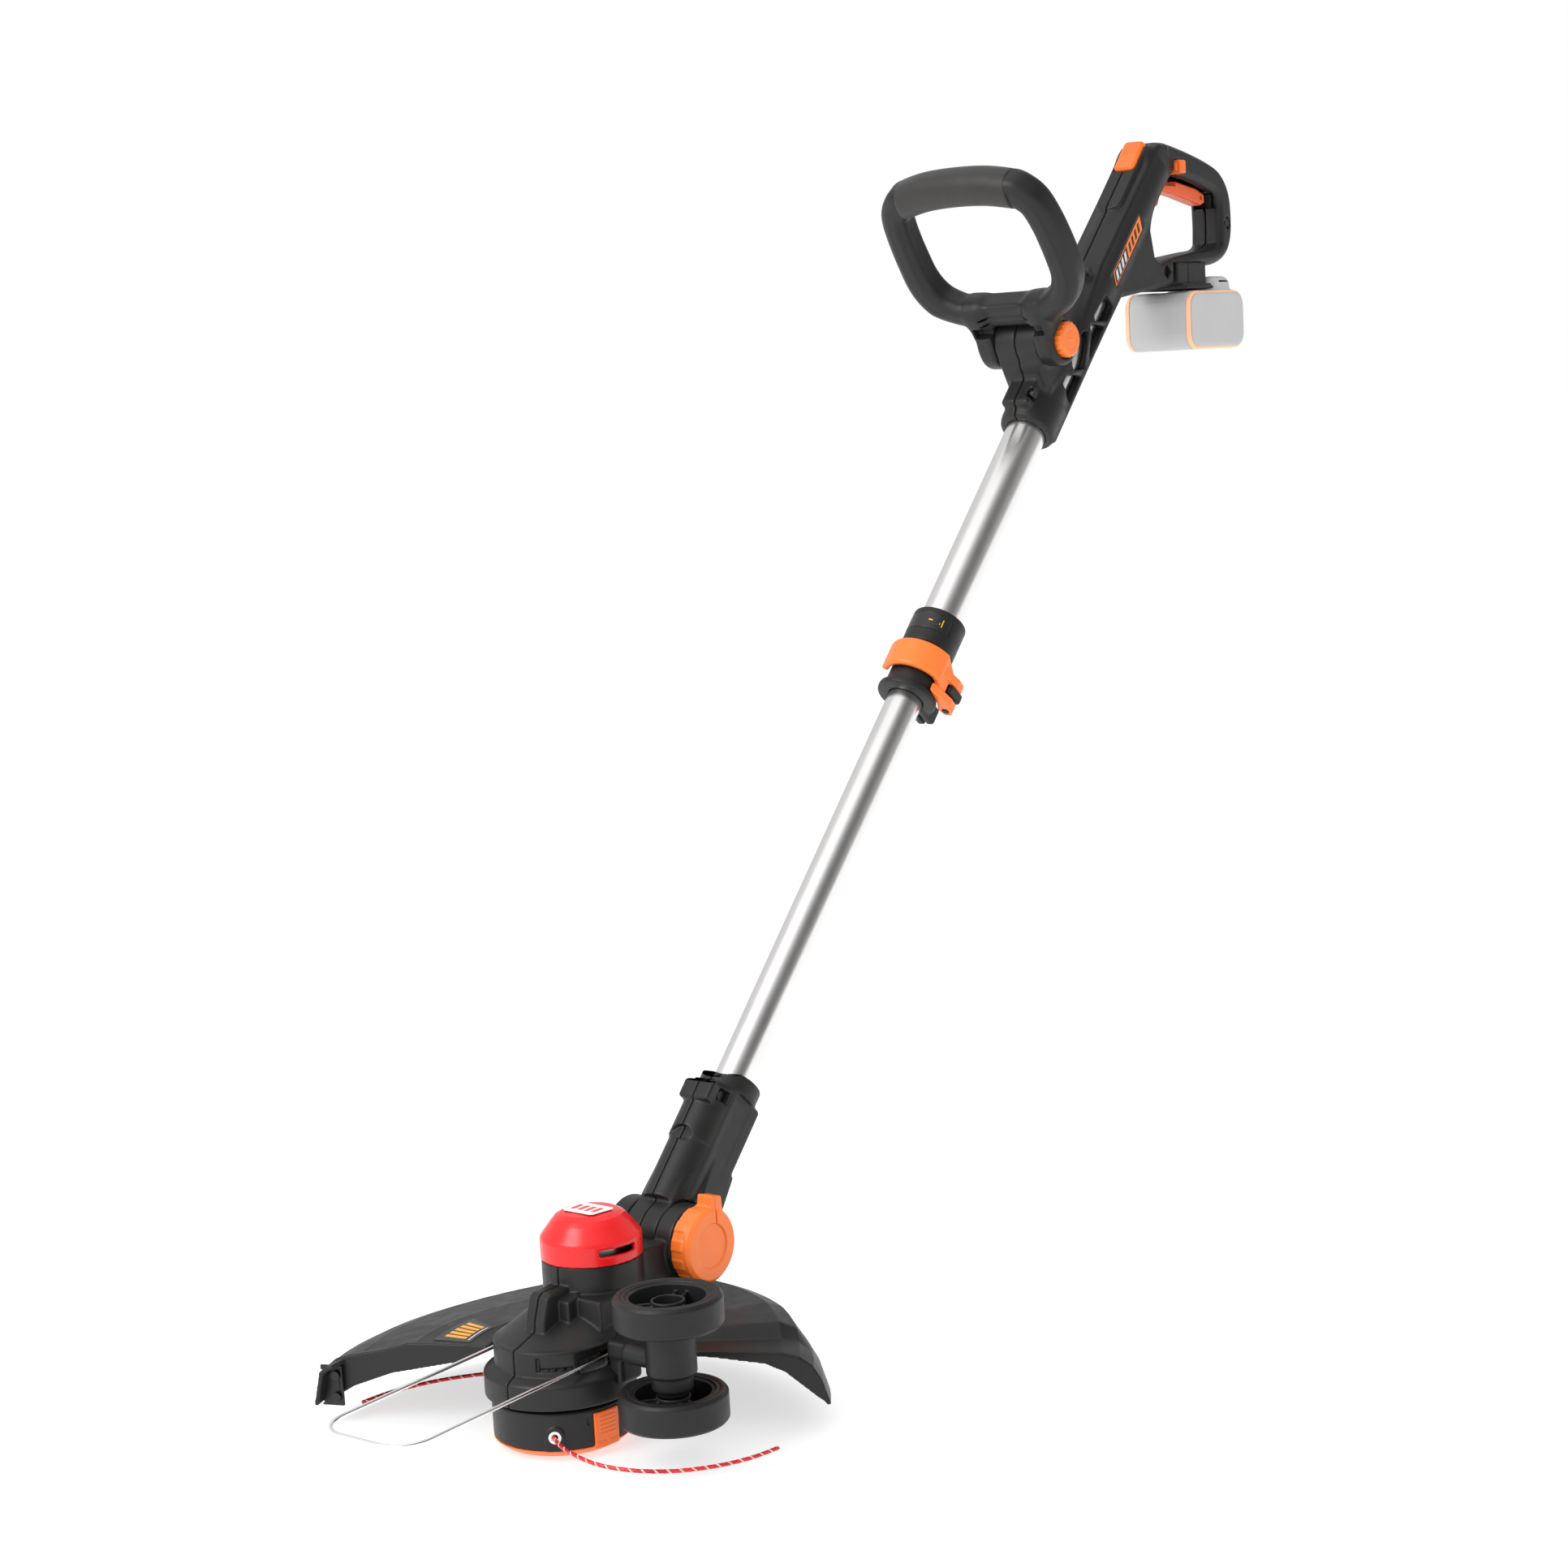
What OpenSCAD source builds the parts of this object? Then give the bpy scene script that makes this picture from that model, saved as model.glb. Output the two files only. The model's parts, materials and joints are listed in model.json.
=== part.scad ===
// Cordless string trimmer: telescopic shaft, tilting head, edging wheels.
// Millimetres, +Z up along the spool axis, origin at the foot of the spool cap.
// +X points to the operator, -Y is the operator's left.

/* [Shaft] */
// Lean of the shaft from the spool axis, degrees
shaft_lean = 42.82; // [35:0.01:50]
// Where the shaft axis meets the spool-cap level, from the spool axis
shaft_x = 10.74; // [5:0.01:20]
// Upper tube outside radius
upper_r = 15; // [13:0.5:17]
// Lower tube outside radius
lower_r = 12.75; // [11:0.25:14]

/* [Head] */
// Rotating spool housing radius
drum_r = 43; // [38:0.5:48]
// Fixed skirt radius
band_r = 46.8; // [42:0.1:52]
// Motor housing radius
motor_r = 31.5; // [28:0.5:36]
// Distance from spool axis to motor axis
motor_x = 35; // [30:0.5:40]
// Head pivot radius
pivot_r = 24.3; // [20:0.1:28]
// Cutting line diameter
line_d = 2.6; // [2:0.1:3.2]

/* [Wheels] */
// Wheel radius
wheel_r = 33.3; // [28:0.1:40]
// Wheel width
wheel_w = 20; // [14:1:26]
// Distance of the wheel axle from the spool axis
axle_y = 92; // [85:1:100]

/* [Guard] */
// Outer reach of the guard
guard_r = 166; // [150:1:180]
// Flower guard wire diameter
wire_d = 2.4; // [2:0.1:4]

/* [Handles] */
// Lean of the front handle loop, degrees
loop_lean = 37.5; // [25:0.5:60]
// Front handle tube radius
loop_r = 12; // [10:0.5:15]

/* [Hidden] */
$fn = 48;
e = 0.01;
gap = 0.05;
shaft_z = 4;
pivot = [100.8, 101.2];      // head pivot, x and z
loop_pivot = [561, 657];     // front handle pivot, x and z
skirt_z0 = 33;  skirt_z1 = 47.7;
rim_r = 39.8;   rim_z0 = 52;  rim_z1 = 67;
cap_z = 108;    top_z = 137;
gear_m = 1;     gear_n = 58;  pinion_n = 12;
wire_x = 20;    wire_z = 58.8; wire_y = 37.2;

black = [0.20, 0.20, 0.21];  soft = [0.13, 0.13, 0.14];
orange = [1.0, 0.42, 0.12];  red = [0.93, 0.09, 0.09];
alu = [0.80, 0.80, 0.82];    steel = [0.66, 0.67, 0.69];
grey = [0.74, 0.74, 0.75];   pale = [1.0, 0.78, 0.66];
white = [0.93, 0.93, 0.92];  brass = [0.78, 0.62, 0.28];
green = [0.10, 0.36, 0.20];

// ---------- helpers ----------
module on_shaft(s = 0) {       // local z runs up the shaft, local -x is its front
    translate([shaft_x, 0, shaft_z]) rotate([0, shaft_lean, 0]) translate([0, 0, s]) children();
}
module y_cyl(x, z, y0, y1, r) {
    translate([x, y0, z]) rotate([-90, 0, 0]) cylinder(r = r, h = y1 - y0);
}
module y_turn(x, z) {          // a turned shape about a sideways axis, points [radius, y]
    translate([x, 0, z]) rotate([-90, 0, 0]) rotate_extrude() children();
}
module xz(y0, y1) {            // a profile in x and z, from y0 to y1
    translate([0, y1, 0]) rotate([90, 0, 0]) linear_extrude(y1 - y0) children();
}
module tube(r1, r2, h) {
    difference() {
        cylinder(r = r1, h = h);
        translate([0, 0, -1]) cylinder(r = r2, h = h + 2);
    }
}
module box(x0, x1, y0, y1, z0, z1) {
    translate([x0, y0, z0]) cube([x1 - x0, y1 - y0, z1 - z0]);
}
module rod(p, q, r) {
    v = q - p;
    translate(p) rotate([0, acos(v[2] / norm(v)), atan2(v[1], v[0])]) cylinder(r = r, h = norm(v));
}
module run(pts, r) {           // a bent rod
    for (i = [0 : len(pts) - 2]) rod(pts[i], pts[i + 1], r);
    for (i = [1 : len(pts) - 2]) translate(pts[i]) sphere(r = r + 0.3);
}
module half(side, big = 1200) { // keep one side of the mid-plane
    intersection() {
        children();
        if (side < 0) box(-200, big, -200, -gap, -10, big);
        else box(-200, big, gap, 200, -10, big);
    }
}
module gear2d(n, bore) {
    rp = gear_m * n / 2;
    difference() {
        union() {
            circle(r = rp - 1.25 * gear_m);
            for (i = [0 : n - 1]) rotate(360 * i / n) polygon([
                [rp - 1.6, -0.95], [rp, -0.62], [rp + 0.85, -0.30],
                [rp + 0.85, 0.30], [rp, 0.62], [rp - 1.6, 0.95]]);
        }
        circle(r = bore);
    }
}
module screw(len = 14, r = 1.8, head = 3.4) { // head up, tip down
    cylinder(r = head, h = 2.4);
    translate([0, 0, -len]) cylinder(r = r, h = len + e);
}

// ---------- rear handle ----------
module handle_outer() {
    on_shaft(800) cylinder(r = 20.5, h = 26);
    on_shaft(800) translate([-2, 0, 0]) cylinder(r = 19.6, h = 268);
    on_shaft(800) box(-2, 23, -17.6, 17.6, 6, 150);
    xz(-16.5, 16.5) polygon([[628, 649], [651, 672], [667, 686.5], [695, 690], [741, 695.5],
        [747, 700], [747, 716], [726, 712], [718, 717], [713, 737], [721, 768], [744, 778],
        [741, 802], [730, 803], [722, 797], [640, 712], [610, 670]]);
    xz(-14.5, 14.5) polygon([[722, 802], [732, 804.5], [741, 804], [779, 798], [815, 788],
        [831, 782], [838, 773], [842, 749], [840, 726], [834, 716], [823, 713], [800, 711],
        [794, 713.4], [747, 713.4], [730, 706], [728, 712], [760, 718], [808, 724], [818, 730], [821, 742],
        [818, 757], [808, 770], [770, 778], [744, 782], [722, 780]]);
    y_cyl(loop_pivot[0], loop_pivot[1], -18, 18, 18.5);
    xz(-17.8, 17.8) polygon([[546, 640], [552, 672], [585, 677], [592, 640], [560, 620]]);
    on_shaft(806) box(-27, 0, -12, 12, 0, 30);
}
module handle_inner() {
    on_shaft(799) cylinder(r = upper_r + 0.05, h = 186);
    on_shaft(985) translate([-1, 0, -e]) cylinder(r = 15, h = 62);
    xz(-12, 12) polygon([[664, 712], [668, 700], [700, 699], [738, 703], [716, 708],
        [707, 736], [716, 770], [690, 748]]);
    xz(-11, 11) polygon([[741, 797], [778, 792], [813, 782], [828, 775], [834, 768], [837, 749],
        [835, 730], [829, 724], [826, 744], [822, 760], [811, 774], [806, 778], [741, 786]]);
    xz(-11, 11) polygon([[726, 790], [744, 797], [744, 770], [722, 772]]);
    xz(-6.4, 6.4) polygon([[733, 790], [812, 780], [812, 764], [800, 758], [740, 766], [733, 756]]);
    box(733, 760, -8, 8, 750, 766);
    y_cyl(loop_pivot[0], loop_pivot[1], -30, 30, 4.6);
    // ladder windows in both cheeks, and the vents they leave under the tube
    for (w = [[826, 27], [858, 21], [884, 20], [909, 27]])
        on_shaft(w[0]) box(1, 12, -40, 40, 0, w[1]);
    // label recess and button wells
    on_shaft(945) box(-7, 5, -30, -18.2, 0, 64);
    on_shaft(1041) box(-40, -9, -9.4, 9.4, 0, 36);
    y_cyl(758, 786, -40, 40, 6.1);
    // screw pockets
    for (p = handle_screw_pts) y_cyl(p[0], p[1], -40, -9, 3.8);
    for (p = handle_screw_pts) y_cyl(p[0], p[1], -10, 7, 1.9);
    // the notch under the barrel collar
    box(744, 796, -17, 17, 690, 713.2);
}
handle_screw_pts = [[628.5, 706.5], [548, 619], [832, 744], [734, 706]];
module handle_body() {
    difference() {
        handle_outer();
        handle_inner();
    }
}
module handle_shell_left() { color(black) half(-1) handle_body(); }
module handle_shell_right() { color(black) half(1) handle_body(); }
module upper_tube() { color(alu) on_shaft(564) tube(upper_r, 14, 420); }
module handle_screws() {
    color(steel) for (p = handle_screw_pts)
        translate([p[0], -11.2, p[1]]) rotate([90, 0, 0]) screw(16, 1.8, 3.4);
}
module handle_label() {
    color(orange) on_shaft(946) box(-6, 4, -18.6, -18.22, 0, 62);
}
module switch_body() {
    color(soft) difference() {
        union() {
            box(766.4, 791, -7, 7, 783.2, 787.3);
            box(772, 776, -2, 2, 780.6, 784);
        }
        y_cyl(758, 786, -12, 12, 6.4);
    }
}
module control_board() { color(green) xz(-9, 9) polygon([[682, 702], [708, 702], [708, 703.6], [682, 703.6]]); }
module battery_foot() {
    color(black) difference() {
        union() {
            box(749, 792, -16.5, 16.5, 696, 713);
            box(749, 792, -21, 21, 692.2, 696);
            for (s = [-1, 1]) box(750, 790, min(s * 17, s * 24), max(s * 17, s * 24), 692.2, 694.6);
        }
        box(756, 786, -12, 12, 691, 706);
    }
}
module terminal_block() {
    color(soft) box(757, 785, -11, 11, 700.2, 705.6);
    color(brass) for (y = [-7, 0, 7]) box(762, 780, y - 0.6, y + 0.6, 693.4, 700.2);
}
module trigger() {
    color(orange) difference() {
        xz(-6, 6) polygon([[736, 755.6], [744.5, 769.5], [806, 758], [811.5, 760], [811, 766.5],
            [799, 771], [744, 780], [737, 776]]);
        y_cyl(806, 764, -10, 10, 1.6);
        box(748, 768, -10, 10, 772.6, 790);
    }
}
module lock_button() { color(orange) y_cyl(758, 786, -19.5, 19.5, 5.95); }
module boost_button() {
    color(orange) on_shaft(1042) difference() {
        hull() {
            for (z = [4, 30], y = [-5.2, 5.2]) translate([-26, y, z]) rotate([0, 90, 0])
                cylinder(r = 3.9, h = 12.6, $fn = 32);
        }
        for (z = [8 : 4 : 26]) translate([-26.4, -6, z]) cube([0.7, 12, 1.4]);
    }
}

// ---------- telescopic clamp ----------
module clamp_body() {
    color(black) on_shaft(543) difference() {
        union() {
            cylinder(r = 24, h = 5);
            cylinder(r = 19.4, h = 80);
            translate([0, 0, 55]) cylinder(r = 21, h = 35.5);
            box(12, 33, -7, 7, 6, 22);
            box(12, 31, 8, 20, 26, 62);
            box(10, 27, -26, -8, 30.2, 46.8);
        }
        translate([0, 0, 21]) cylinder(r = upper_r + 0.02, h = 80);
        translate([0, 0, -1]) cylinder(r = 14.6, h = 30);
        box(13, 40, -1.2, 1.2, -1, 56);
        translate([20.5, -20.5, 20]) cylinder(r = 2.55, h = 40);
        translate([25.5, 14, 20]) cylinder(r = 2.2, h = 60);
    }
}
module clamp_bush() {
    color(soft) on_shaft(543.4) difference() {
        cylinder(r = 14.55, h = 20);
        translate([0, 0, -1]) cylinder(r = lower_r + 0.06, h = 40);
        box(8, 20, -0.8, 0.8, -1, 40);
    }
}
module clamp_label() {
    color(soft) on_shaft(611) rotate([0, 0, 128]) rotate_extrude(angle = 118) translate([21.05, 0]) square([0.5, 13]);
}
module lever_pin() {
    color(steel) on_shaft(564) translate([20.5, -20.5, 0]) cylinder(r = 2.5, h = 36);
}
module clamp_lever() {
    color(orange) on_shaft(0) difference() {
        union() {
            translate([0, 0, 566]) rotate([0, 0, 118]) rotate_extrude(angle = 110)
                polygon([[21.6, 0], [27.5, 0], [30.5, 4], [31, 16], [30.5, 28], [27.5, 31], [21.6, 31]]);
            for (z = [566, 590.4]) hull() {
                translate([-16, -23, z]) cylinder(r = 5, h = 6.6, $fn = 32);
                translate([8, -29, z]) cylinder(r = 5, h = 6.6, $fn = 32);
                translate([20.5, -20.5, z]) cylinder(r = 6, h = 6.6, $fn = 32);
            }
        }
        translate([20.5, -20.5, 560]) cylinder(r = 2.56, h = 44);
        translate([0, 0, 560]) cylinder(r = 21.6, h = 40);
    }
}

// ---------- front handle ----------
module in_loop() { translate([loop_pivot[0], 0, loop_pivot[1]]) rotate([0, -loop_lean, 0]) children(); }
loop_pts = [[0, 30, 30], [-4, 54, 44], [2, 63, 62], [4, 65, 100], [6, 60, 122], [6, 49, 131]];
grip_pts = [[6, 49, 131.6], [5, 26, 136], [5, 0, 137.4], [5, -26, 136], [6, -49, 131.6]];
module loop_side(s) {
    pts = [for (p = loop_pts) [p[0], s * p[1], p[2]]];
    run(pts, loop_r);
    // ear
    hull() {
        y_cyl(0, 0, s > 0 ? 18.35 : -32, s > 0 ? 32 : -18.35, 19);
        translate([-2, s * 29, 30]) sphere(r = loop_r - 1);
    }
}
module front_frame() {
    color(black) in_loop() difference() {
        union() {
            loop_side(1);
            loop_side(-1);
            box(-10, 8, -34, 34, 21, 41);
            run(grip_pts, 8);
        }
        y_cyl(0, 0, -40, 40, 4.6);
        y_cyl(0, 0, -40, -26.2, 13.4);
        y_cyl(0, 0, 29.6, 50, 8.4);
        y_cyl(0, 0, -18.2, 18.2, 19.2);
    }
}
module front_grip() {
    color(soft) in_loop() difference() {
        run(grip_pts, loop_r + 1.5);
        run([[6.2, 50, 131.4], [5, 26, 136], [5, 0, 137.4], [5, -26, 136], [6.2, -50, 131.4]], 8.4);
        for (s = [-1, 1]) translate([6, s * 50, 131]) sphere(r = 14.2);
    }
}
module front_bolt() {
    color(steel) {
        y_cyl(loop_pivot[0], loop_pivot[1], -36, 32.2, 4.5);
        y_cyl(loop_pivot[0], loop_pivot[1], 29.7, 33.6, 8);
    }
}
module front_knob() {
    color(orange) translate([loop_pivot[0], 0, loop_pivot[1]]) difference() {
        union() {
            y_turn(0, 0) polygon([[0, -38.2], [11.4, -38.2], [12.4, -37.2], [12.4, -26.6], [0, -26.6]]);
            for (i = [0 : 17]) rotate([0, 20 * i + 10, 0]) box(10, 13.1, -36.6, -27, -0.75, 0.75);
        }
        y_cyl(0, 0, -36.2, -20, 4.56);
    }
}

// ---------- battery ----------
bx0 = 743; bx1 = 826; by = 31; bz0 = 645.5; band_y = 27.5;
module pack(x0, x1, y, z0, z1, r) {
    hull() for (x = [x0 + r, x1 - r], s = [-1, 1]) translate([x, s * (y - r), z0 + r]) {
        sphere(r = r, $fn = 32);
        cylinder(r = r, h = z1 - z0 - r);
    }
}
module battery_case() {
    color(grey) difference() {
        pack(bx0, bx1, by, bz0, 683, 9);
        pack(bx0 + 2.4, bx1 - 2.4, by - 2.4, bz0 + 2.4, 690, 7);
        difference() {
            band_zone(2.05);
            pack(bx0 + 1.25, bx1 - 1.25, by - 1.25, bz0 + 1.25, 690, 8);
        }
    }
}
module band_zone(half_w) {     // where the two bands run round the case
    for (s = [-1, 1]) translate([0, s * band_y, 0]) box(bx0 - 1, bx1 + 1, -half_w, half_w, 640, 700);
}
module battery_bands() {
    color(pale) intersection() {
        band_zone(2);
        difference() {
            pack(bx0, bx1, by, bz0, 683, 9);
            pack(bx0 + 1.2, bx1 - 1.2, by - 1.2, bz0 + 1.2, 690, 8);
        }
    }
}
module battery_top() {
    color(grey) difference() {
        union() {
            translate([0, 0, 683.05]) linear_extrude(7.6) hull() for (x = [752, 817], y = [-22, 22])
                translate([x, y]) circle(r = 8, $fn = 32);
            box(796, 822, -20, 20, 690, 702);
        }
        // the slot the foot slides in
        box(700, 793.5, -21.4, 21.4, 691.8, 720);
        box(754, 790, -9, 9, 688, 700);
        box(803, 818, -21, 21, 691.6, 698);
    }
    color(grey) for (s = [-1, 1]) box(760, 790, min(s * 24.6, s * 29), max(s * 24.6, s * 29), 690, 693.4);
}
module battery_cells() {
    color(grey * 0.8) {
        for (i = [0 : 2]) translate([752, 18.9 * (i - 1), 657.5]) rotate([0, 90, 0]) cylinder(r = 9.2, h = 65);
        for (i = [0 : 1]) translate([752, 18.9 * (i - 0.5), 673.5]) rotate([0, 90, 0]) cylinder(r = 9.2, h = 65);
    }
}
module battery_latch() { color(soft) box(808, 817, -20.9, 20.9, 694.2, 697.8); }

// ---------- telescoping shaft ----------
module guide_bush() {
    color(soft) on_shaft(700) difference() {
        cylinder(r = 13.94, h = 63);
        translate([0, 0, -1]) cylinder(r = lower_r + 0.06, h = 61.4);
        translate([0, 0, 50]) cylinder(r = 10, h = 40);
    }
}
module lower_tube() { color(alu) on_shaft(166) tube(lower_r, 11.6, 594); }

// ---------- arm ----------
arm_screw_pts = [[-17.3, 228], [17.5, 206], [17.3, 172]];
module arm_outer() {
    on_shaft(0) {
        translate([-6.5, 0, 148]) cylinder(r = 16.4, h = 48);
        translate([-8.2, 0, 195.9]) cylinder(r = 16.4, h = 41.1);
        box(-8, 22, -16.4, 16.4, 158, 237);
        translate([0, 0, 236]) cylinder(r = 20.4, h = 12);
        box(-27.5, 0, -12, 12, 219, 233);
        // rear fin
        hull() {
            box(8, 29.5, -8, 8, 180, 239);
            box(8, 22, -16, 16, 180, 236);
        }
        // flared webs down to the pivot
        hull() {
            box(-2, 20, -16, 16, 220, 226);
            box(-6, 24, -27.3, 27.3, 150, 168);
        }
    }
    y_cyl(pivot[0], pivot[1], -13.7, 13.7, 24);
    hull() {
        y_cyl(pivot[0], pivot[1], -13.6, 13.6, 20);
        on_shaft(165) translate([-5, 0, 0]) cylinder(r = 13.6, h = 4);
    }
}
module arm_inner() {
    on_shaft(166) cylinder(r = lower_r + 0.02, h = 100);
    y_cyl(pivot[0], pivot[1], -40, 40, 4.3);
    for (s = [-1, 1]) y_cyl(pivot[0], pivot[1], s > 0 ? 13.8 : -40, s > 0 ? 40 : -13.8, 25.1);
    on_shaft(0) for (p = arm_screw_pts) translate([p[0], 0, p[1]]) {
        rotate([90, 0, 0]) translate([0, 0, 9]) cylinder(r = 3.6, h = 30);
        rotate([90, 0, 0]) translate([0, 0, -10]) cylinder(r = 1.85, h = 20);
    }
}
module arm_body() { difference() { arm_outer(); arm_inner(); } }
module arm_shell_left() { color(black) half(-1) arm_body(); }
module arm_shell_right() { color(black) half(1) arm_body(); }
module arm_screws() {
    color(steel) on_shaft(0) for (p = arm_screw_pts) translate([p[0], -9.2, p[1]])
        rotate([90, 0, 0]) screw(17, 1.8, 3.3);
}

// ---------- head ----------
module head_outer() {
    translate([0, 0, skirt_z0]) cylinder(r = band_r, h = skirt_z1 - skirt_z0);
    translate([0, 0, skirt_z1 - e]) cylinder(r1 = band_r, r2 = rim_r, h = rim_z0 - skirt_z1 + e);
    translate([0, 0, rim_z0 - e]) cylinder(r = rim_r, h = rim_z1 - rim_z0 + e);
    hull() {
        translate([0, 0, rim_z0]) cylinder(r = 30, h = 14, $fn = 32);
        translate([motor_x, 0, rim_z0]) cylinder(r = 17, h = 28, $fn = 32);
    }
    hull() {
        translate([0, 0, rim_z1 - 0.5]) cylinder(r = rim_r - 0.4, h = 0.5, $fn = 64);
        translate([motor_x, 0, 81]) cylinder(r = motor_r, h = 1, $fn = 64);
    }
    translate([motor_x, 0, 80]) cylinder(r = motor_r, h = cap_z - 80);
    // front hook
    xz(-8, 8) polygon([[6, 78], [-13, 79], [-18, 84], [-14, 95], [6, 96.5]]);
    // side pad above the wheel bracket
    box(2, 40, -34, -14, 70, 92);
    // neck and cheeks of the pivot
    box(58, 92, -24, 24, 76, 108);
    for (s = [-1, 1]) y_cyl(pivot[0], pivot[1], s > 0 ? 14 : -27.6, s > 0 ? 27.6 : -14, pivot_r);
    // pad the guard bolts to
    box(48, 70, -15, 15, 64.05, 84);
}
module head_inner() {
    translate([0, 0, skirt_z0 - 1]) cylinder(r = 44.2, h = 15);
    translate([0, 0, 46]) cylinder(r1 = 44.2, r2 = 37.3, h = 5);
    translate([0, 0, 50.9]) cylinder(r = 37.3, h = 9.1);
    translate([0, 0, 50]) cylinder(r = 9.55, h = 14);
    hull() for (x = [10, motor_x]) translate([x, 0, 48]) cylinder(r = 9, h = 13, $fn = 32);
    translate([motor_x, 0, 60]) cylinder(r = 7, h = 20);
    translate([motor_x, 0, 74]) cylinder(r = 28.9, h = cap_z);
    y_cyl(pivot[0], pivot[1], -13.95, 13.95, 24.8);
    y_cyl(pivot[0], pivot[1], -40, 40, 4.3);
    box(93, 140, -13.95, 13.95, 60, 130);
    // side channels for the flower guard
    for (s = [-1, 1]) {
        box(-26, 26, s > 0 ? 33.6 : -60, s > 0 ? 60 : -33.6, 52.5, 80);
        y_cyl(wire_x, wire_z, s > 0 ? 20 : -60, s > 0 ? 60 : -20, wire_d / 2 + 0.05);
    }
    for (p = guard_screw_pts) translate([p[0], p[1], 60]) cylinder(r = 1.75, h = 16);
}
guard_screw_pts = [[56, -10], [56, 10], [64, -10], [64, 10]];
module head_bosses() {
    for (s = [-1, 1]) difference() {
        y_cyl(wire_x, wire_z, s > 0 ? 28 : -33.6, s > 0 ? 33.6 : -28, 4);
        y_cyl(wire_x, wire_z, -60, 60, wire_d / 2 + 0.05);
    }
}
module head_body() {
    difference() {
        head_outer();
        head_inner();
    }
    head_bosses();
}
module head_shell_left() { color(black) half(-1) head_body(); }
module head_shell_right() { color(black) half(1) head_body(); }
module motor_cap() {
    color(red) translate([motor_x, 0, 0]) difference() {
        rotate_extrude($fn = 72) polygon([[0, top_z], [17, top_z], [21, 135.6], [30.6, 124.5],
            [motor_r + 0.4, 121], [motor_r + 0.4, cap_z + 0.1], [0, cap_z + 0.1]]);
        translate([0, 0, cap_z - 1]) cylinder(r = 29.2, h = 12);
        translate([0, 0, 118]) cylinder(r1 = 29.2, r2 = 18, h = 15);
        for (a = [-128, 128]) rotate([0, 0, a - 22]) translate([0, 0, 112.5])
            rotate_extrude(angle = 44) translate([26, 0]) square([10, 4.6]);
        box(26.6, 60, -24.3, 24.3, 90, 108.5);
    }
}
module cap_plate() {
    color(white) translate([motor_x, 0, top_z + 0.05]) linear_extrude(0.5) polygon([[-11, -12],
        [-11, 12], [7, 15], [7, -15]]);
}
module motor_can() {
    color(steel) translate([motor_x, 0, 0]) difference() {
        union() {
            translate([0, 0, 80]) cylinder(r = 21, h = 44);
            translate([0, 0, 74.1]) cylinder(r = 28.8, h = 6);
        }
        translate([0, 0, 84]) cylinder(r = 11.6, h = 36);
        translate([0, 0, 70]) cylinder(r = 6.5, h = 14.1);
        translate([0, 0, 119.9]) cylinder(r = 6.5, h = 10);
    }
}
module bearings() {
    color(steel) {
        for (z = [80.4, 120.2]) translate([motor_x, 0, z]) tube(6.45, 2.55, 3.4);
        for (z = [34.5, 56.2]) translate([0, 0, z]) tube(9.5, 4.05, 5);
    }
}
module gear_plate() {
    color(soft) difference() {
        union() {
            translate([0, 0, 34]) cylinder(r = 44.1, h = 2.4);
            translate([0, 0, 34]) cylinder(r = 12.5, h = 5.7);
        }
        translate([0, 0, 34.45]) cylinder(r = 9.52, h = 10);
        translate([0, 0, 30]) cylinder(r = 6, h = 10);
    }
}
module pivot_bolt() {
    color(steel) {
        y_cyl(pivot[0], pivot[1], -39, 27.8, 4.2);
        y_cyl(pivot[0], pivot[1], 27.7, 31.2, 9);
    }
}
module pivot_knob() {
    color(orange) translate([pivot[0], 0, pivot[1]]) difference() {
        union() {
            y_turn(0, 0) polygon([[0, -42.4], [22, -42.4], [24, -40.4], [24, -28.2], [0, -28.2]]);
            for (i = [0 : 11]) rotate([0, 30 * i + 12, 0]) box(18, 24.7, -37, -28.6, -3.4, 3.4);
            xz(-41.5, -29) polygon([[0.7, 17], [13.7, 15], [12.5, 29.5], [3.5, 31.5]]);
        }
        y_cyl(0, 0, -60, -41.2, 14.6);
        y_cyl(0, 0, -39.2, -20, 4.26);
        box(5.2, 6.2, -60, -40.9, 13, 30);
    }
}

// ---------- guard ----------
a0 = -56; a1 = 110;
raised_0 = -42; raised_1 = 70;
module wing_skin() {
    polygon([[52, 52.5], [104, 52.4], [145.2, 46.6], [155, 39], [160, 27], [163, 14],
        [guard_r, 14], [163.6, 28], [158.6, 42], [146.8, 49.6], [104, 55.5], [52, 55.5]]);
}
module raised_skin() {         // 0.2 inside the wings, so that no two faces coincide
    polygon([[52.3, 52.8], [60, 52.8], [67.5, 57], [135, 61], [143, 57.8], [145.8, 46.4], [154.8, 39],
        [159.8, 27], [162.8, 14.3], [165.8, 14.3], [163.4, 28], [158.4, 42], [149.4, 49], [146, 60.5],
        [136, 64], [66, 60], [59, 55.2], [52.3, 55.2]]);
}
module sweep_guard(from, to) {
    rotate([0, 0, from]) rotate_extrude(angle = to - from, $fn = 96) children();
}
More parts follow.
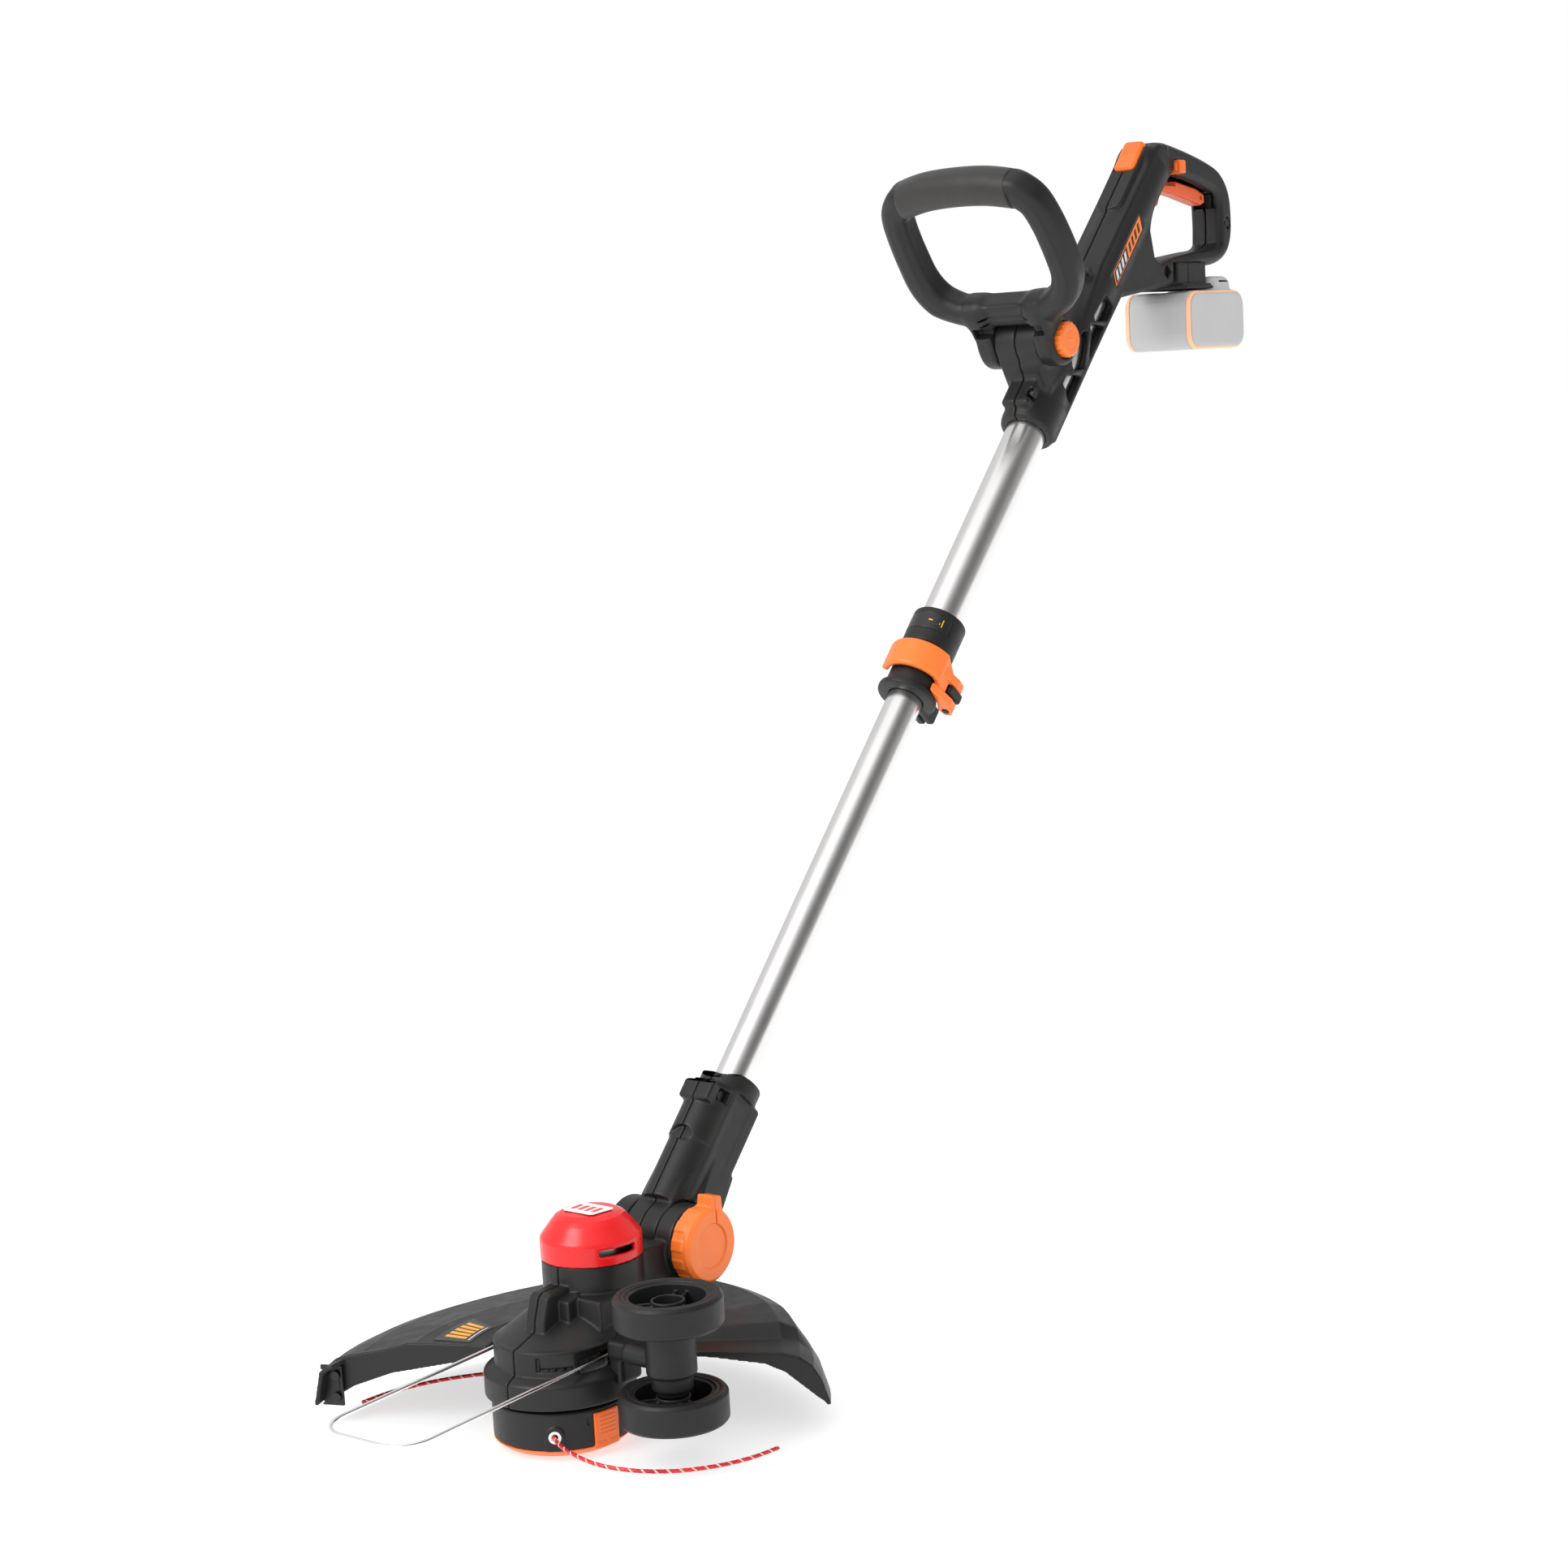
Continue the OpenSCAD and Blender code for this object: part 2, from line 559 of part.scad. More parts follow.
module guard() {
    color(black) difference() {
        union() {
            sweep_guard(a0, raised_0 + 0.4) wing_skin();
            sweep_guard(raised_0, raised_1) raised_skin();
            sweep_guard(raised_1 - 0.4, a1) wing_skin();
            // end walls of the raised centre
            for (a = [raised_0, raised_1 - 1.2]) sweep_guard(a + 0.1, a + 1.1)
                polygon([[61, 54], [68, 58.5], [135, 62.5], [144.6, 59], [147, 48], [104, 53.5]]);
            // front flanges of both wings
            for (a = [a0 - 0.2, a1 - 0.9]) rotate([0, 0, a]) rotate_extrude(angle = 1.1)
                polygon([[55, 44], [84, 42], [128, 34], [143, 22], [160, 14.6], [164.6, 14.6], [162, 30],
                    [157, 42], [146, 49.2], [104, 54.4], [55, 54.4]]);
            // collar under the motor housing, and the pad it bolts on with
            box(49, 72.5, -15.5, 15.5, 53.1, 64);
        }
        translate([0, 0, 40]) cylinder(r = rim_r + 0.5, h = 50);
        translate([0, 0, 40]) cylinder(r = band_r + 0.4, h = 8);
        translate([0, 0, 47.6]) cylinder(r1 = band_r + 0.4, r2 = rim_r + 0.5, h = 4.5);
        translate([motor_x, 0, 40]) cylinder(r = 20, h = 40);
        for (p = guard_screw_pts) translate([p[0], p[1], 40]) cylinder(r = 2, h = 40);
        // clearance round the edging wheels and the flower guard
        translate([0, -axle_y, 0]) cylinder(r = wheel_r + 4, h = 120);
        box(-30, 30, -62, -33, 40, 70);
        box(-30, 30, 33, 40.5, 40, 70);
        for (a = [a1 - 3.4]) rotate([0, 0, a]) box(150, 156, -2.1, 2.1, 10, 60);
    }
}
module cutter_blade() {
    color(steel) rotate([0, 0, a1 + 0.3]) {
        difference() {
            box(149, 164, 0, 1.6, 12, 38);
            for (i = [0 : 5]) box(163, 165, -1, 3, 13 + 4 * i, 15 + 4 * i);
            for (z = [18, 32]) translate([153, -1, z]) rotate([-90, 0, 0]) cylinder(r = 1.9, h = 4);
        }
    }
}
module guard_screws() {
    color(steel) {
        for (p = guard_screw_pts) translate([p[0], p[1], 51.9]) rotate([180, 0, 0]) screw(18, 1.7, 3.2);
        rotate([0, 0, a1 + 0.3]) for (z = [18, 32]) translate([153, 1.7, z])
            rotate([-90, 0, 0]) screw(1.7, 1.8, 3);
    }
}
module guard_label() {
    color(soft) rotate([0, 0, 72]) rotate_extrude(angle = 30) translate([76, 55.6]) square([26, 0.5]);
}

// ---------- wheels ----------
module wheel_bracket() {
    color(black) difference() {
        union() {
            box(-8, 9, -86, -40.4, 59, 70);
            y_cyl(0, 65, -80, -58, 8);
            hull() {
                box(-9, 20, -52, -40.4, 58, 68);
                box(-6, 8, -60, -50, 60, 70);
            }
            box(-9, 20, -52, -40.4, 38, 60);
            translate([0, -axle_y, 57.6]) cylinder(r = 15.5, h = 28.4);
            translate([0, -axle_y, 47]) cylinder(r = 12, h = 11);
            translate([0, -axle_y, 44.4]) cylinder(r = 9.5, h = 4);
        }
        translate([0, -axle_y, 0]) cylinder(r = 4.42, h = 120);
        translate([0, 0, 30]) cylinder(r = band_r + 0.02, h = 17.75);
        translate([0, 0, 47.7]) cylinder(r1 = band_r + 0.02, r2 = rim_r + 0.1, h = 4.4);
    }
}
module wheel_axle() {
    color(steel) translate([0, -axle_y, 0]) {
        translate([0, 0, 26.8]) cylinder(r = 4.4, h = 66.8);
        translate([0, 0, 93.4]) cylinder(r = 6.6, h = 1.6);
        translate([0, 0, 25.4]) cylinder(r = 6.6, h = 1.5);
    }
}
module wheel(z) {
    color(black) translate([0, -axle_y, z]) difference() {
        union() {
            rotate_extrude($fn = 72) polygon([[27, 0], [31.8, 0], [wheel_r, 1.6], [wheel_r, wheel_w - 2],
                [31.6, wheel_w], [26.3, wheel_w], [26.3, wheel_w - 1], [22.8, wheel_w - 0.6],
                [22.8, 4], [27, 4]]);
            translate([0, 0, 1.5]) cylinder(r = 24, h = 2.5);
            translate([0, 0, 0.6]) cylinder(r = 10.8, h = 15.6);
            for (a = [20, 140, 260], s = [-1, 1]) rotate([0, 0, a]) translate([0, s * 3.4 - 0.9, 1.6])
                cube([24, 1.8, 12.5]);
        }
        translate([0, 0, -1]) cylinder(r = 4.46, h = 30);
        translate([0, 0, 4.5]) cylinder(r = 8.8, h = 20);
        translate([0, 0, -1]) cylinder(r = 7.2, h = 1.9);
    }
}
module wheel_upper() { wheel(86.6); }
module wheel_lower() { wheel(27.6); }

// ---------- flower guard ----------
module wire_guard() {
    reach = 188;
    bend = 22;
    color(steel) translate([wire_x, 0, wire_z]) rotate([0, -atan(0.033), 0]) {
        for (s = [-1, 1]) {
            translate([bend - reach, s * wire_y, 0]) rotate([0, 90, 0])
                cylinder(r = wire_d / 2, h = reach - bend + wire_d * 0.45);
            translate([bend - reach, s * (wire_y - bend), 0]) rotate([0, 0, s > 0 ? 90 : 180])
                rotate_extrude(angle = 90) translate([bend, 0]) circle(r = wire_d / 2);
            y_cyl(0, 0, s > 0 ? 29.5 : -wire_y - 0.3, s > 0 ? wire_y + 0.3 : -29.5, wire_d / 2);
        }
        y_cyl(-reach, 0, bend - wire_y, wire_y - bend, wire_d / 2);
    }
}

// ---------- drive ----------
module rotor() {
    color(steel) translate([motor_x, 0, 0]) {
        translate([0, 0, 40]) cylinder(r = 2.5, h = 83);
        translate([0, 0, 86]) cylinder(r = 11, h = 32);
    }
}
module pinion() {
    color(brass) translate([motor_x, 0, 41]) rotate([0, 0, 180 - 180 / pinion_n])
        linear_extrude(5.9) gear2d(pinion_n, 2.5);
}
module drive_gear() {
    color(white) translate([0, 0, 41]) {
        linear_extrude(6.6) gear2d(gear_n, 4);
        translate([0, 0, 6.5]) tube(9, 4, 2);
    }
}
module spindle() {
    color(steel) {
        translate([0, 0, 8]) cylinder(r = 4, h = 55);
        translate([0, 0, 31.1]) cylinder(r = 5.6, h = 3.2);
    }
}
module drum_cuts(a, w) {
    rotate([0, 0, a - w / 2]) rotate_extrude(angle = w) translate([38, -5]) square([10, 32]);
}
eyelet_a = 216.5;
module spool_housing() {
    color(black) difference() {
        union() {
            translate([0, 0, 7.2]) tube(drum_r, 40.6, 21);
            translate([0, 0, 28]) cylinder(r = drum_r, h = 2.6);
            translate([0, 0, 24]) cylinder(r = 8, h = 5);
            for (a = [eyelet_a, eyelet_a - 180]) rotate([0, 0, a]) translate([36.5, -5.5, 10]) cube([5, 11, 13]);
        }
        translate([0, 0, -5]) cylinder(r = 4, h = 60);
        for (a = [262, 82]) rotate([0, 0, a - 13.2]) rotate_extrude(angle = 26.4)
            translate([38, 6]) square([10, 28 - 6 + 0.2]);
        for (a = [eyelet_a, eyelet_a - 180]) rotate([0, 0, a]) translate([30, 0, 16])
            rotate([0, 90, 0]) cylinder(r = 2.7, h = 20);
        translate([0, 0, -1]) cylinder(r = 7.9, h = 8.3);
    }
}
module spool_cap() {
    color(orange) difference() {
        union() {
            rotate_extrude($fn = 72) polygon([[0, 0], [28, 0], [38, 2.4],
                [42.6, 6], [43.4, 7.1], [39, 7.1], [38, 5.2], [27, 2.6], [0, 2.6]]);
            for (a = [262, 82]) rotate([0, 0, a - 12.9]) rotate_extrude(angle = 25.8)
                polygon([[40.6, 6.5], [43.2, 6.5], [43.6, 9], [43.6, 26], [43, 27.7], [40.7, 27.7]]);
            for (a = [262, 82], i = [0 : 4]) rotate([0, 0, a - 8.6]) rotate_extrude(angle = 17)
                translate([43.4, 13 + 2.6 * i]) square([0.6, 1.2]);
        }
    }
}
module spool() {
    color(white) translate([0, 0, 7.6]) difference() {
        union() {
            cylinder(r = 36, h = 1.6);
            translate([0, 0, 8]) cylinder(r = 36, h = 1.2);
            translate([0, 0, 15]) cylinder(r = 36, h = 1.2);
            cylinder(r = 18, h = 16);
        }
        translate([0, 0, -1]) cylinder(r = 8.3, h = 20);
        translate([0, 0, 3]) cylinder(r = 14.5, h = 20);
    }
}
module spool_spring() {
    pitch = 3.1;
    color(steel) {
        for (i = [0 : 4]) translate([0, 0, 11.6 + pitch * i]) rotate_extrude()
            translate([11.5, 0]) circle(r = 0.7, $fn = 16);
        for (i = [0 : 3]) rotate([0, 0, 95 * i])
            rod([11.5, -1.4, 11.6 + pitch * i], [11.5, 1.4, 11.6 + pitch * (i + 1)], 0.6, $fn = 16);
    }
}
module eyelets() {
    color(white) for (a = [eyelet_a, eyelet_a - 180]) rotate([0, 0, a]) translate([41.6, 0, 16])
        rotate([0, 90, 0]) {
            tube(2.65, 1.9, 2);
            translate([0, 0, 1.6]) tube(3.9, 2.2, 1.2);
        }
}
line_pts = [[-29.5, -21.8, 16], [-36.5, -27, 16], [-45.5, -45, 15], [-50, -71, 13.5], [-44.5, -94, 12],
    [-30, -114, 10.5], [-9.5, -129, 9.6], [13.5, -138, 9], [36, -141, 8.6]];
module cutting_line() {        // short straight lengths, each lapping the next
    for (i = [0 : len(line_pts) - 2]) {
        v = (line_pts[i + 1] - line_pts[i]) / norm(line_pts[i + 1] - line_pts[i]);
        lap = i < len(line_pts) - 2 ? 0.5 : 0;
        rod(line_pts[i] - v * (i > 0 ? 0.5 : 0), line_pts[i + 1] + v * lap, line_d / 2, $fn = 24);
    }
}
module line_near() { color(red) cutting_line(); }
module line_far() { color(red) rotate([0, 0, 180]) cutting_line(); }

handle_shell_left();
handle_shell_right();
upper_tube();
clamp_body();
clamp_bush();
clamp_label();
lever_pin();
battery_foot();
terminal_block();
switch_body();
control_board();
handle_screws();
handle_label();
trigger();
lock_button();
boost_button();
clamp_lever();
front_frame();
front_grip();
front_bolt();
front_knob();
battery_case();
battery_top();
battery_bands();
battery_cells();
battery_latch();
guide_bush();
lower_tube();
arm_shell_left();
arm_shell_right();
arm_screws();
head_shell_left();
head_shell_right();
motor_cap();
cap_plate();
motor_can();
pivot_bolt();
bearings();
gear_plate();
guard();
cutter_blade();
guard_screws();
guard_label();
wheel_bracket();
wheel_axle();
pivot_knob();
wheel_upper();
wheel_lower();
wire_guard();
rotor();
pinion();
drive_gear();
spindle();
spool_housing();
spool_cap();
spool();
spool_spring();
eyelets();
line_near();
line_far();
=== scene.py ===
"""Looks of the cordless string trimmer: castings, metals, labels, line, light and camera.

Lengths are millimetres in the row frame unless a name says otherwise. Large mouldings are drawn as
signed distance fields and turned into quads, which gives every edge and joint its moulded fillet.
"""
import json
import math

import bmesh
import bpy
import numpy as np
from mathutils import Matrix, Vector


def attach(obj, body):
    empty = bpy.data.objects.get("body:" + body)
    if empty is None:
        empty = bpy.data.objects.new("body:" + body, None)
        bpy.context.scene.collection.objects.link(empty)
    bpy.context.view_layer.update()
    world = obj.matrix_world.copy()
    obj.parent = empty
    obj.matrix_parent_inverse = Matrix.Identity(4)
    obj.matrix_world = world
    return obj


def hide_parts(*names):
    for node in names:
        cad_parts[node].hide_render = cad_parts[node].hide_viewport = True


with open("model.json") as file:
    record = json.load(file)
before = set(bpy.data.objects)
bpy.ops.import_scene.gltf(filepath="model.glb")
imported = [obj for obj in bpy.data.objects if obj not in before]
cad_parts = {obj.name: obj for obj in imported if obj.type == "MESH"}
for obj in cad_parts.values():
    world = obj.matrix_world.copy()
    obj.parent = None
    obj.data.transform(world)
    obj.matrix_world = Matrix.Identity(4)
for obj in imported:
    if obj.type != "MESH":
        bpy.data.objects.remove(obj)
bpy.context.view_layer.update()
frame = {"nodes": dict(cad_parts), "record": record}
NODES = frame["nodes"]
BODY_OF = {n: b for b, ns in frame["record"]["behaviour"]["bodies"].items() for n in ns}
SLOT_OF = {s["node"]: s["material_slot"] for s in frame["record"]["subparts"]}

# ---------- sizes shared with the CAD ----------
SHAFT_LEAN = 42.82
SHAFT_X, SHAFT_Z = 10.74, 4.0
PIVOT = (100.8, 101.2)
LOOP_PIVOT = (561.0, 657.0)
LOOP_LEAN = -37.5
MOTOR_X = 35.0
AXLE_Y = -92.0
LINE_D = 2.6
SEAM = 0.22                      # half the gap between two half shells


def lean_about(x, z, degrees):
    """Matrix (in millimetres) of a local frame at (x, 0, z) that leans about Y."""
    return Matrix.Translation((x, 0, z)) @ Matrix.Rotation(math.radians(degrees), 4, "Y")


SHAFT = lean_about(SHAFT_X, SHAFT_Z, SHAFT_LEAN)      # local z up the shaft, -x its front
LOOP = lean_about(*LOOP_PIVOT, LOOP_LEAN)             # local z up the front handle
HOME = Matrix.Identity(4)

# ---------- camera ----------
CAMERA_AT = (-1.2702, -1.2286, 0.6381)
AZIMUTH, PITCH, ROLL = map(math.radians, (-51.05, 7.73, -3.09))
right = Vector((math.cos(AZIMUTH), math.sin(AZIMUTH), 0))
back = Vector((math.sin(AZIMUTH) * math.cos(PITCH), -math.cos(AZIMUTH) * math.cos(PITCH), math.sin(PITCH)))
up = back.cross(right)
x_axis = right * math.cos(ROLL) + up * math.sin(ROLL)
y_axis = up * math.cos(ROLL) - right * math.sin(ROLL)
camera = bpy.data.objects.new("camera", bpy.data.cameras.new("camera"))
camera.matrix_world = Matrix.Translation(CAMERA_AT) @ Matrix((x_axis, y_axis, back)).transposed().to_4x4()
camera.data.lens = 68.07
camera.data.sensor_width = 36
camera.data.clip_end = 60
bpy.context.scene.collection.objects.link(camera)
bpy.context.scene.camera = camera


# ---------- materials ----------
def add_node(tree, kind, **inputs):
    """A shader node with some inputs set; underscores in their names stand for spaces."""
    node = tree.nodes.new("ShaderNode" + kind)
    for name, value in inputs.items():
        node.inputs[name.replace("_", " ")].default_value = value
    return node


def colour_mix(tree, **inputs):
    node = tree.nodes.new("ShaderNodeMix")
    node.data_type = "RGBA"
    for name, value in inputs.items():
        node.inputs[name].default_value = value
    return node


def socket_values(bsdf, **values):
    for name, value in values.items():
        bsdf.inputs[name.replace("_", " ")].default_value = value


def material(name, colour, rough=0.4, metallic=0.0, grain=0.0, grain_size=0.5, vary=0.06,
             wear=0.0, coat=0.0, stretch=None, **extra):
    """A procedural surface: mottled colour, uneven polish, moulded grain and paler worn edges.

    grain is the depth of the grain in millimetres and grain_size its pitch.
    """
    mat = bpy.data.materials.new(name)
    mat.use_nodes = True
    nodes, links = mat.node_tree.nodes, mat.node_tree.links
    bsdf = nodes["Principled BSDF"]
    socket_values(bsdf, Metallic=metallic, Coat_Weight=coat, Coat_Roughness=0.12, **extra)
    where = nodes.new("ShaderNodeTexCoord")
    source = where.outputs["Object"]
    if stretch:
        scale = add_node(mat.node_tree, "Mapping", Rotation=stretch[0], Scale=stretch[1])
        links.new(source, scale.inputs["Vector"])
        source = scale.outputs["Vector"]

    def noise(size, detail):
        node = add_node(mat.node_tree, "TexNoise", Scale=1000 / size, Detail=detail)
        links.new(source, node.inputs["Vector"])
        return node.outputs["Fac"]

    def ramp(fac, low, high, start=0.3, stop=0.7):
        node = add_node(mat.node_tree, "MapRange", From_Min=start, From_Max=stop, To_Min=low, To_Max=high)
        links.new(fac, node.inputs["Value"])
        return node.outputs["Result"]

    blotch = noise(22, 4)
    dark = [c * (1 - vary) for c in colour] + [1]
    light = [min(1, c * (1 + vary)) for c in colour] + [1]
    shade = colour_mix(mat.node_tree, A=dark, B=light)
    links.new(ramp(blotch, 0, 1), shade.inputs["Factor"])
    colour_out = shade.outputs["Result"]
    if wear:
        edge = nodes.new("ShaderNodeNewGeometry")
        rub = colour_mix(mat.node_tree, B=[min(1, c * 1.8 + 0.02) for c in colour] + [1])
        links.new(ramp(edge.outputs["Pointiness"], 0, wear, 0.53, 0.62), rub.inputs["Factor"])
        links.new(colour_out, rub.inputs["A"])
        colour_out = rub.outputs["Result"]
    links.new(colour_out, bsdf.inputs["Base Color"])
    links.new(ramp(noise(9, 3), rough * 0.9, rough * 1.12), bsdf.inputs["Roughness"])
    if grain:
        bump = add_node(mat.node_tree, "Bump", Distance=grain / 1000, Strength=0.6)
        links.new(noise(grain_size, 2), bump.inputs["Height"])
        links.new(bump.outputs["Normal"], bsdf.inputs["Normal"])
    return mat


SHAFT_TURN = (0, -math.radians(SHAFT_LEAN), 0)
# colour, roughness and the rest of each surface
LOOKS = {
    "dark_plastic": ((0.0155, 0.015, 0.0147), 0.42,
                     dict(grain=0.03, grain_size=0.7, wear=0.25, Specular_IOR_Level=0.34)),
    "wheel_plastic": ((0.0135, 0.013, 0.013), 0.46,
                      dict(grain=0.035, grain_size=0.6, wear=0.25, Specular_IOR_Level=0.35)),
    "soft_grip": ((0.024, 0.022, 0.021), 0.5,
                  dict(grain=0.04, grain_size=0.5, vary=0.08, Sheen_Weight=0.12, Specular_IOR_Level=0.4)),
    "orange_plastic": ((0.95, 0.165, 0.018), 0.34, dict(grain=0.012, grain_size=0.6, vary=0.03, coat=0.15)),
    "knob_orange": ((0.95, 0.195, 0.024), 0.36, dict(grain=0.014, grain_size=0.6, vary=0.03, coat=0.12)),
    "trigger_orange": ((0.76, 0.105, 0.022), 0.42, dict(grain=0.02, grain_size=0.5, vary=0.04)),
    "red_plastic": ((0.78, 0.007, 0.009), 0.27, dict(grain=0.006, grain_size=0.8, vary=0.03, coat=0.1)),
    "tube_alloy": ((0.83, 0.815, 0.81), 0.23,
                   dict(metallic=1, grain=0.004, grain_size=0.35, vary=0.02,
                        stretch=(SHAFT_TURN, (1, 1, 0.02)))),
    "steel": ((0.60, 0.60, 0.61), 0.3, dict(metallic=1, grain=0.004, grain_size=0.3, vary=0.05)),
    "dark_screw": ((0.05, 0.05, 0.052), 0.4, dict(metallic=1, vary=0.05)),
    "bright_wire": ((0.97, 0.97, 0.97), 0.2, dict(metallic=1, vary=0.02)),
    "brass": ((0.72, 0.50, 0.20), 0.28, dict(metallic=1, vary=0.05)),
    "battery_grey": ((0.50, 0.50, 0.505), 0.45, dict(grain=0.02, grain_size=0.6, vary=0.02)),
    "pale_orange": ((0.98, 0.56, 0.36), 0.42, dict(grain=0.01, grain_size=0.6, vary=0.02)),
    "white_plastic": ((0.86, 0.86, 0.85), 0.34, dict(grain=0.01, grain_size=0.6, vary=0.02)),
    "board": ((0.02, 0.13, 0.06), 0.3, dict(vary=0.2)),
    "cell_wrap": ((0.45, 0.47, 0.50), 0.3, dict(vary=0.05)),
    "printed_label": ((0.016, 0.016, 0.017), 0.3, dict(grain=0.006, grain_size=0.4)),
    "print_orange": ((0.95, 0.20, 0.02), 0.4, dict(grain=0.004, vary=0.03)),
    "print_amber": ((0.95, 0.40, 0.02), 0.4, dict(grain=0.004, vary=0.03)),
    "print_green": ((0.13, 0.45, 0.03), 0.4, dict(grain=0.004, vary=0.03)),
    "print_grey": ((0.62, 0.62, 0.62), 0.4, dict(grain=0.004, vary=0.03)),
}
M = {name: material(name, colour, rough, **rest) for name, (colour, rough, rest) in LOOKS.items()}


# ---------- signed distance shapes ----------
# A shape is (low corner, high corner, distance), where distance(x, y, z) takes arrays that broadcast.
def smooth_min(a, b, k):
    h = np.maximum(k - np.abs(a - b), 0) / k
    return np.minimum(a, b) - h * h * k * 0.25


def extrude(flat, along, half, radius):
    """A flat distance pushed along a third axis, with its rims rounded."""
    flat = flat + radius
    along = np.abs(along) - half + radius
    inside = np.minimum(np.maximum(flat, along), 0)
    return np.hypot(np.maximum(flat, 0), np.maximum(along, 0)) + inside - radius


def polygon_distance(points, u, v):
    """Signed distance to a closed outline."""
    best, sign = None, None
    for i, (au, av) in enumerate(points):
        bu, bv = points[i - 1]
        eu, ev = bu - au, bv - av
        wu, wv = u - au, v - av
        t = np.clip((wu * eu + wv * ev) / (eu * eu + ev * ev), 0, 1)
        d = (wu - eu * t) ** 2 + (wv - ev * t) ** 2
        flip = ((v >= av) & (v < bv) & (eu * wv > ev * wu)) | ((v < av) & (v >= bv) & (eu * wv < ev * wu))
        best = d if best is None else np.minimum(best, d)
        sign = flip if sign is None else sign ^ flip
    return np.sqrt(best) * np.where(sign, -1, 1)


def block(x0, x1, y0, y1, z0, z1, radius=1.0):
    def distance(x, y, z):
        q = [np.abs(p - (a + b) / 2) - (b - a) / 2 + radius for p, a, b in
             ((x, x0, x1), (y, y0, y1), (z, z0, z1))]
        out = np.sqrt(sum(np.maximum(c, 0) ** 2 for c in q))
        return out + np.minimum(np.maximum(np.maximum(q[0], q[1]), q[2]), 0) - radius
    return (x0, y0, z0), (x1, y1, z1), distance


def rod(r, z0, z1, cx=0.0, cy=0.0, radius=0.8):
    def distance(x, y, z):
        return extrude(np.hypot(x - cx, y - cy) - r, z - (z0 + z1) / 2, (z1 - z0) / 2, radius)
    return (cx - r, cy - r, z0), (cx + r, cy + r, z1), distance


def y_rod(x0, z0, y0, y1, r, radius=0.8):
    def distance(x, y, z):
        return extrude(np.hypot(x - x0, z - z0) - r, y - (y0 + y1) / 2, (y1 - y0) / 2, radius)
    return (x0 - r, y0, z0 - r), (x0 + r, y1, z0 + r), distance


def other_axes(axis):
    return [i for i in range(3) if i != axis]


def turned(points, axis=2):
    """A closed outline of (radius, height) points turned about the z axis, or about another."""
    reach, heights = max(p[0] for p in points), [p[1] for p in points]
    outline = [(r if r > 0 else -4.0, height) for r, height in points]
    one, two = other_axes(axis)

    def distance(*at):
        return polygon_distance(outline, np.hypot(at[one], at[two]), at[axis] + 0 * (at[one] + at[two]))
    low, high = [-reach] * 3, [reach] * 3
    low[axis], high[axis] = min(heights), max(heights)
    return low, high, distance


def pushed(points, start, end, radius, axis):
    """An outline in the two other axes, in their order, pushed along one axis."""
    one, two = other_axes(axis)

    def distance(*at):
        flat = polygon_distance(points, at[one] + 0 * at[two], at[two] + 0 * at[one])
        return extrude(flat, at[axis] - (start + end) / 2, (end - start) / 2, radius)
    low, high = [start] * 3, [end] * 3
    for i, values in zip((one, two), zip(*points)):
        low[i], high[i] = min(values), max(values)
    return low, high, distance


def x_prism(points, x0, x1, radius=1.0):
    return pushed(points, x0, x1, radius, 0)


def prism(points, y0, y1, radius=1.0):
    return pushed(points, y0, y1, radius, 1)


def prism_z(points, z0, z1, radius=1.0):
    return pushed(points, z0, z1, radius, 2)


def ball(cx, cy, cz, r):
    def distance(x, y, z):
        return np.sqrt((x - cx) ** 2 + (y - cy) ** 2 + (z - cz) ** 2) - r
    return (cx - r, cy - r, cz - r), (cx + r, cy + r, cz + r), distance


def span(side, near, far):
    """The lower and upper y of a stretch on one side of the middle."""
    return sorted((side * near, side * far))


def turned_axes(x, y, turn):
    """Coordinates along and across a direction in the xy plane."""
    return x * math.cos(turn) + y * math.sin(turn), y * math.cos(turn) - x * math.sin(turn)


def curve(points, steps=6):
    """Catmull-Rom curve through points of any dimension."""
    pts = [points[0]] + list(points) + [points[-1]]
    out = []
    for i in range(1, len(pts) - 2):
        p0, p1, p2, p3 = (np.array(p, float) for p in pts[i - 1:i + 3])
        for k in range(steps):
            t = k / steps
            out.append(0.5 * (2 * p1 + (p2 - p0) * t + (2 * p0 - 5 * p1 + 4 * p2 - p3) * t ** 2
                              + (3 * p1 - p0 - 3 * p2 + p3) * t ** 3))
    out.append(np.array(points[-1], float))
    return out


def band(points, half, mid, radius, across="y", offset=None):
    """A bar that follows (u, v, half thickness) points in a plane; half is its half width across it.

    offset gives how far its middle stands from mid, as a function of v.
    """
    pts = curve(points)
    us, vs, ts = zip(*pts)
    grow = max(ts)

    def flat(u, v):
        best = None
        for (au, av, at), (bu, bv, bt) in zip(pts, pts[1:]):
            eu, ev = bu - au, bv - av
            t = np.clip(((u - au) * eu + (v - av) * ev) / (eu * eu + ev * ev), 0, 1)
            d = np.hypot(u - au - eu * t, v - av - ev * t) - (at + (bt - at) * t)
            best = d if best is None else np.minimum(best, d)
        return best

    low, high = (min(us) - grow, min(vs) - grow), (max(us) + grow, max(vs) + grow)
    spare = 10 if offset else 0
    if across == "y":
        return ((low[0], mid - half, low[1]), (high[0], mid + half, high[1]),
                lambda x, y, z: extrude(flat(x, z), y - mid, half, radius))
    return ((mid - half - spare, low[0], low[1]), (mid + half + spare, high[0], high[1]),
            lambda x, y, z: extrude(flat(y, z), x - mid - (offset(z) if offset else 0), half, radius))


